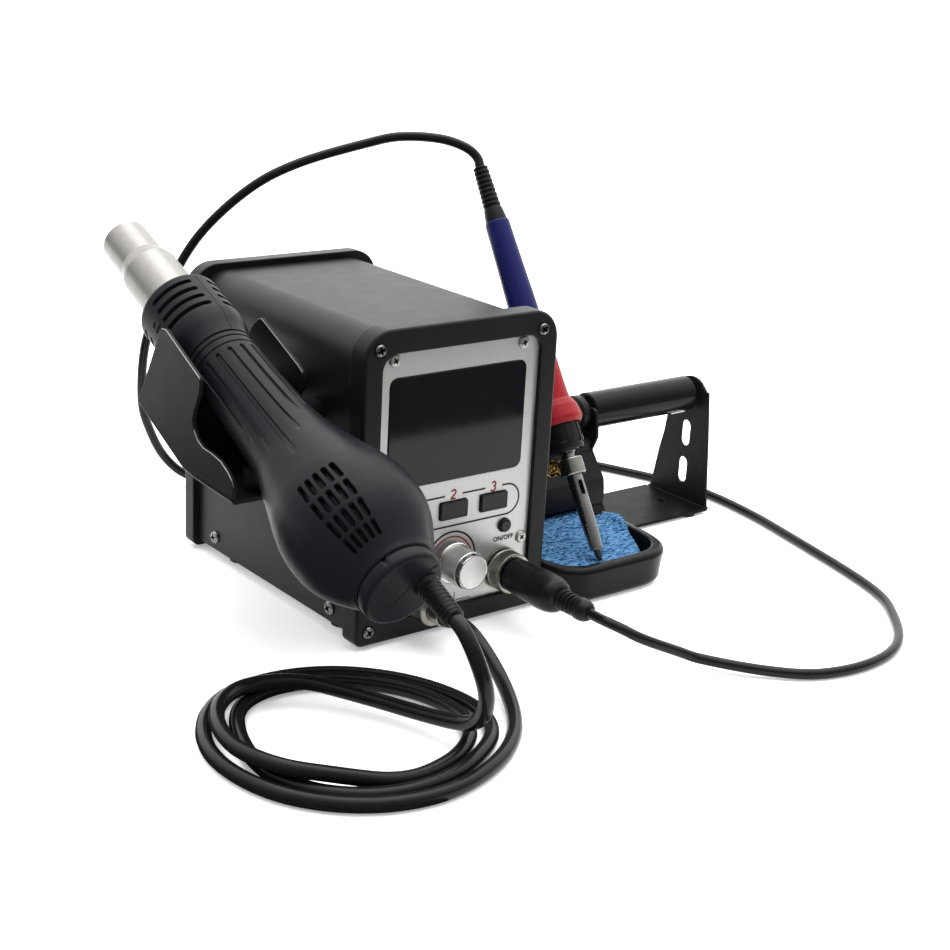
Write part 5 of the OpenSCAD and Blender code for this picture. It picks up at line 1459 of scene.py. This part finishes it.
# wool housing: one bent sheet with a window, closed at the sides, and the brass curls inside
def bent_sheet(name, prof, thick, xs, hole, material, body, replaces=()):
    """prof: open outline (y, z), outer side on the left of travel; hole: (column index, z0, z1) left out of the front."""
    n = len(prof)
    inner = []
    for i in range(n):
        a, b, c = (Vector(prof[max(i - 1, 0)]), Vector(prof[i]), Vector(prof[min(i + 1, n - 1)]))
        t1 = (b - a).normalized() if i > 0 else (c - b).normalized()
        t2 = (c - b).normalized() if i < n - 1 else t1
        n1, n2 = Vector((t1.y, -t1.x)), Vector((t2.y, -t2.x))
        nn = (n1 + n2).normalized()
        inner.append(b + nn * thick / max(0.3, nn.dot(n1)))
    bm = bmesh.new()
    vo = [[bm.verts.new((x, p[0], p[1])) for p in prof] for x in xs]
    vi = [[bm.verts.new((x, p.x, p.y)) for p in inner] for x in xs]
    zi = [i for i in range(n) if hole[1] - 1e-6 <= prof[i][1] <= hole[2] + 1e-6 and prof[i][0] < 63.5]
    i0, i1 = min(zi), max(zi)
    gone = set()
    for k in range(len(xs) - 1):
        for i in range(n - 1):
            if k == hole[0] and i0 <= i < i1:
                gone.add((k, i))
                continue
            bm.faces.new((vo[k][i], vo[k + 1][i], vo[k + 1][i + 1], vo[k][i + 1]))
            bm.faces.new((vi[k][i], vi[k][i + 1], vi[k + 1][i + 1], vi[k + 1][i]))
    for i in range(n - 1):
        for k in (0, len(xs) - 1):
            bm.faces.new((vo[k][i], vo[k][i + 1], vi[k][i + 1], vi[k][i]))
    for k in range(len(xs) - 1):
        for i in (0, n - 1):
            bm.faces.new((vo[k][i], vo[k + 1][i], vi[k + 1][i], vi[k][i]))
    k = hole[0]
    for i in range(i0, i1):
        for kk in (k, k + 1):
            bm.faces.new((vo[kk][i], vo[kk][i + 1], vi[kk][i + 1], vi[kk][i]))
    for i in (i0, i1):
        bm.faces.new((vo[k][i], vo[k + 1][i], vi[k + 1][i], vi[k][i]))
    o = make(name, bm, material, body, angle=28, replaces=replaces)
    return o


HP = fillet([(60, 3.0), (60, 19.6), (51.7, 19.6), (51.4, 24.1), (51.7, 29.5), (52.4, 33.2), (57.8, 39.8), (62.6, 45.9), (62.6, 52), (95, 52), (95, 3.0)], [0, .8, .8, 2, 2, 1.2, 0.5, 1.2, 1.2, 1.2, 0], 3)
HP = [tuple(q) for q in HP]
seen = []
for q in HP:
    if not seen or math.hypot(q[0] - seen[-1][0], q[1] - seen[-1][1]) > 0.02:
        seen.append(q)
HP = seen


def insert_z(prof, z):
    for i in range(len(prof) - 1):
        a, b = prof[i], prof[i + 1]
        if b[0] < 63.5 and a[1] < z < b[1] and a[1] > 33:
            f = (z - a[1]) / (b[1] - a[1])
            return prof[:i + 1] + [(a[0] + (b[0] - a[0]) * f, z)] + prof[i + 1:]
    return prof


HP = insert_z(insert_z(HP, 37.8), 45.0)
bent_sheet("housing_sheet", HP, 1.6, [62, 92, 121, 135.7], (1, 37.8, 45.0), stand_black, "station", replaces=("wool_housing",))
side = [(61.7, 3.2), (61.7, 21.3), (53.4, 21.3), (53.2, 24.1), (53.4, 29), (54.1, 32.4), (59.2, 38.8), (64.3, 45.3), (64.3, 50.3), (93.3, 50.3), (93.3, 3.2)]
for k, xx in enumerate((62.1, 134.0)):
    plate("housing_side_%d" % (k + 1), side, [], 1.5, stand_black, "station", FYZ(xx), bevel=0.1)
plate("housing_foot", round_poly([(51.8, 19.5, .3), (48.9, 15.4, .8), (48.9, 13.9, .4), (60, 13.9, .2), (60, 19.5, .2)]), [], 7.0, stand_black, "station", FYZ(128.7), bevel=0.3)


def wool_piece():
    rng = random.Random(7)
    bm = bmesh.new()
    for k in range(240):
        z = rng.uniform(35.5, 47.0)
        c = Vector((rng.uniform(89, 124), 59.1 + (z - 38.8) * 0.785 + rng.uniform(2.4, 7.5), z))
        d = Vector((rng.gauss(0, 1), rng.gauss(0, 0.6), rng.gauss(0, 1))).normalized()
        e = d.cross(Vector((rng.gauss(0, 1), rng.gauss(0, 1), rng.gauss(0, 1)))).normalized()
        f = d.cross(e)
        R = rng.uniform(1.1, 2.4)
        turns = rng.uniform(1.5, 3.5)
        pitch = rng.uniform(1.0, 2.2)
        w = rng.uniform(0.4, 0.8)
        n = int(14 * turns)
        ring = []
        for j in range(n):
            a = 2 * math.pi * j / 14
            p = c + d * (pitch * (j / 14 - turns / 2)) + R * (math.cos(a) * e + math.sin(a) * f)
            p.y = max(p.y, 59.1 + (p.z - 38.8) * 0.785 + 0.6)
            p.z = min(p.z, 49.8)
            ring.append([p - d * w / 2, p + d * w / 2])
        loft(bm, ring, wrap=False)
    o = make("wool_curls", bm, brass, "station", angle=60, replaces=("brass_wool",), weighted=False)
    sol = o.modifiers.new("thick", "SOLIDIFY")
    sol.thickness = 0.00012
    return o


wool_piece()


def rest_piece():
    lathe("rest_tube", [(7.1, 55.3), (8.5, 55.3), (8.8, 55.6), (8.8, 58.7), (9.2, 59.2), (9.25, 69.5), (9.0, 70.0), (7.4, 70.0), (7.1, 69.7)], plastic, "station", I, seg=72, fr=0.2, replaces=("iron_rest",), close=True)
    bm = bmesh.new()
    for a in (296, 313, 250):
        ca_, sa_ = math.cos(math.radians(a)), math.sin(math.radians(a))
        rings = []
        for t, h in ((57.9, 8.9), (58.3, 9.6), (67.0, 9.6), (67.5, 9.2)):
            w = 0.75
            tx, ty = -sa_, ca_
            rings.append([(h * ca_ + w * tx * q, h * sa_ + w * ty * q, t) for q in (1, -1)] + [(8.4 * ca_ - w * tx, 8.4 * sa_ - w * ty, t), (8.4 * ca_ + w * tx, 8.4 * sa_ + w * ty, t)])
        loft(bm, rings, cap0=True, cap1=True)
    make("rest_ribs", bm, plastic, "station", I, angle=40)
    g = round_poly([(31.8, 61.6, .5), (37.4, 70.0, .6), (52, 60.3, 4), (65, 52.05, 1), (62.7, 52.05, .2), (62.7, 45.9, .5), (57.9, 39.9, .5), (52.2, 45.2, 2)])
    plate("rest_web", g, [], 7.8, stand_black, "station", FYZ(81.4), bevel=0.4)


rest_piece()

# ------------------------------------------------------------------ carried-over CAD nodes get their finish
def finish_node(name, material, bevel=0.0):
    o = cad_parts[name]
    o.data.materials.clear()
    o.data.materials.append(material)
    if bevel:
        b = o.modifiers.new("edge", "BEVEL")
        b.width = bevel / 1000
        b.segments = 2
        b.limit_method = "ANGLE"
        b.angle_limit = math.radians(40)


for nm, mm, bv in [("base_pan", zinc, 0), ("rear_panel", powder, 0.15), ("display_module", board, 0), ("station_feet", rubber, 0.4), ("knob_pot", zinc, 0), ("transformer", core, 0.3), ("main_board", board, 0), ("mains_inlet", plastic, 0.3), ("main_switch", plastic, 0.3), ("main_rocker", red_rocker, 0.3), ("heater_core", ceramic, 0.2), ("gun_fan", plastic, 0), ("fan_motor", zinc, 0), ("gun_screws", black_screw, 0.1), ("cradle_screws", black_screw, 0.25), ("roller_axle", black_screw, 0.25), ("stand_feet", rubber, 0.3)]:
    finish_node(nm, mm, bv)


# ------------------------------------------------------------------ floor and light
def studio():
    me = bpy.data.meshes.new("floor")
    bm = bmesh.new()
    s = 6.0
    vs = [bm.verts.new(p) for p in ((-s, -s, 0), (s, -s, 0), (s, s, 0), (-s, s, 0))]
    bm.faces.new(vs)
    bm.to_mesh(me)
    bm.free()
    fl = bpy.data.objects.new("floor", me)
    bpy.context.scene.collection.objects.link(fl)
    m = bpy.data.materials.new("floor_pale")
    m.use_nodes = True
    n, l = nodes_of(m)
    b = n["Principled BSDF"]
    b.inputs["Roughness"].default_value = 0.7
    b.inputs["Specular IOR Level"].default_value = 0.2
    tc = n.new("ShaderNodeTexCoord")
    nz = n.new("ShaderNodeTexNoise")
    nz.inputs["Scale"].default_value = 6
    r = n.new("ShaderNodeValToRGB")
    r.color_ramp.elements[0].color = (0.93, 0.93, 0.93, 1)
    r.color_ramp.elements[1].color = (0.95, 0.95, 0.95, 1)
    l.new(tc.outputs["Object"], nz.inputs["Vector"])
    l.new(nz.outputs["Fac"], r.inputs["Fac"])
    l.new(r.outputs["Color"], b.inputs["Base Color"])
    # the table is lit a little from below, so the sweep stays white beside the object
    b.inputs["Emission Color"].default_value = (1, 1, 1, 1)
    b.inputs["Emission Strength"].default_value = 0.3
    me.materials.append(m)
    w = bpy.data.worlds.new("studio")
    bpy.context.scene.world = w
    w.use_nodes = True
    n, l = w.node_tree.nodes, w.node_tree.links
    bg = n["Background"]
    bg.inputs["Strength"].default_value = 1.0
    # a bright sweep above and behind the object, falling off towards the front
    tc = n.new("ShaderNodeTexCoord")
    dt = n.new("ShaderNodeVectorMath")
    dt.operation = "DOT_PRODUCT"
    dt.inputs[1].default_value = (0.27, 0.4, 0.876)
    l.new(tc.outputs["Generated"], dt.inputs[0])
    mr = n.new("ShaderNodeMapRange")
    mr.interpolation_type = "SMOOTHSTEP"
    mr.inputs["From Min"].default_value = 0.0
    mr.inputs["From Max"].default_value = 0.9
    mr.inputs["To Min"].default_value = 0.35
    mr.inputs["To Max"].default_value = 2.6
    l.new(dt.outputs["Value"], mr.inputs["Value"])
    cbn = n.new("ShaderNodeCombineXYZ")
    for k in ("X", "Y", "Z"):
        l.new(mr.outputs["Result"], cbn.inputs[k])
    l.new(cbn.outputs["Vector"], bg.inputs["Color"])

    def area(name, loc, aim, size, size_y, power):
        li = bpy.data.lights.new(name, "AREA")
        li.shape = "RECTANGLE"
        li.size = size
        li.size_y = size_y
        li.energy = power
        o = bpy.data.objects.new(name, li)
        bpy.context.scene.collection.objects.link(o)
        d = Vector(aim) - Vector(loc)
        o.matrix_world = Matrix.Translation(loc) @ d.to_track_quat("-Z", "Y").to_matrix().to_4x4()
        return o

    # painted reflection: four matt dark cards lying just above the floor, seen only in glossy reflections, never by the
    # camera, diffuse light or shadows; they deepen reflections on the front and left
    cm = mat("card_black", color=(0.012, 0.012, 0.013), rough=0.9, var=0.1, vscale=5, spec=0.05)

    def card(name, x0, x1, y0, y1):
        b2 = bmesh.new()
        b2.faces.new([b2.verts.new(P(x, y, 0.6)) for x, y in ((x0, y0), (x1, y0), (x1, y1), (x0, y1))])
        me2 = bpy.data.meshes.new(name)
        b2.to_mesh(me2)
        b2.free()
        me2.materials.append(cm)
        o = bpy.data.objects.new(name, me2)
        bpy.context.scene.collection.objects.link(o)
        o.visible_camera = False
        o.visible_diffuse = False
        o.visible_shadow = False

    card("card_front", -260, 2500, -2500, -238)
    card("card_left", -2500, -262, -2500, 480)
    card("card_near", -261.5, -96, -237.5, 12)
    card("card_mid", -261.5, -128, 12.5, 330)

    area("key_top", (0.15, 0.12, 1.35), (-0.05, 0, 0.05), 1.4, 1.4, 15)


studio()
bpy.context.scene.view_settings.view_transform = "Standard"
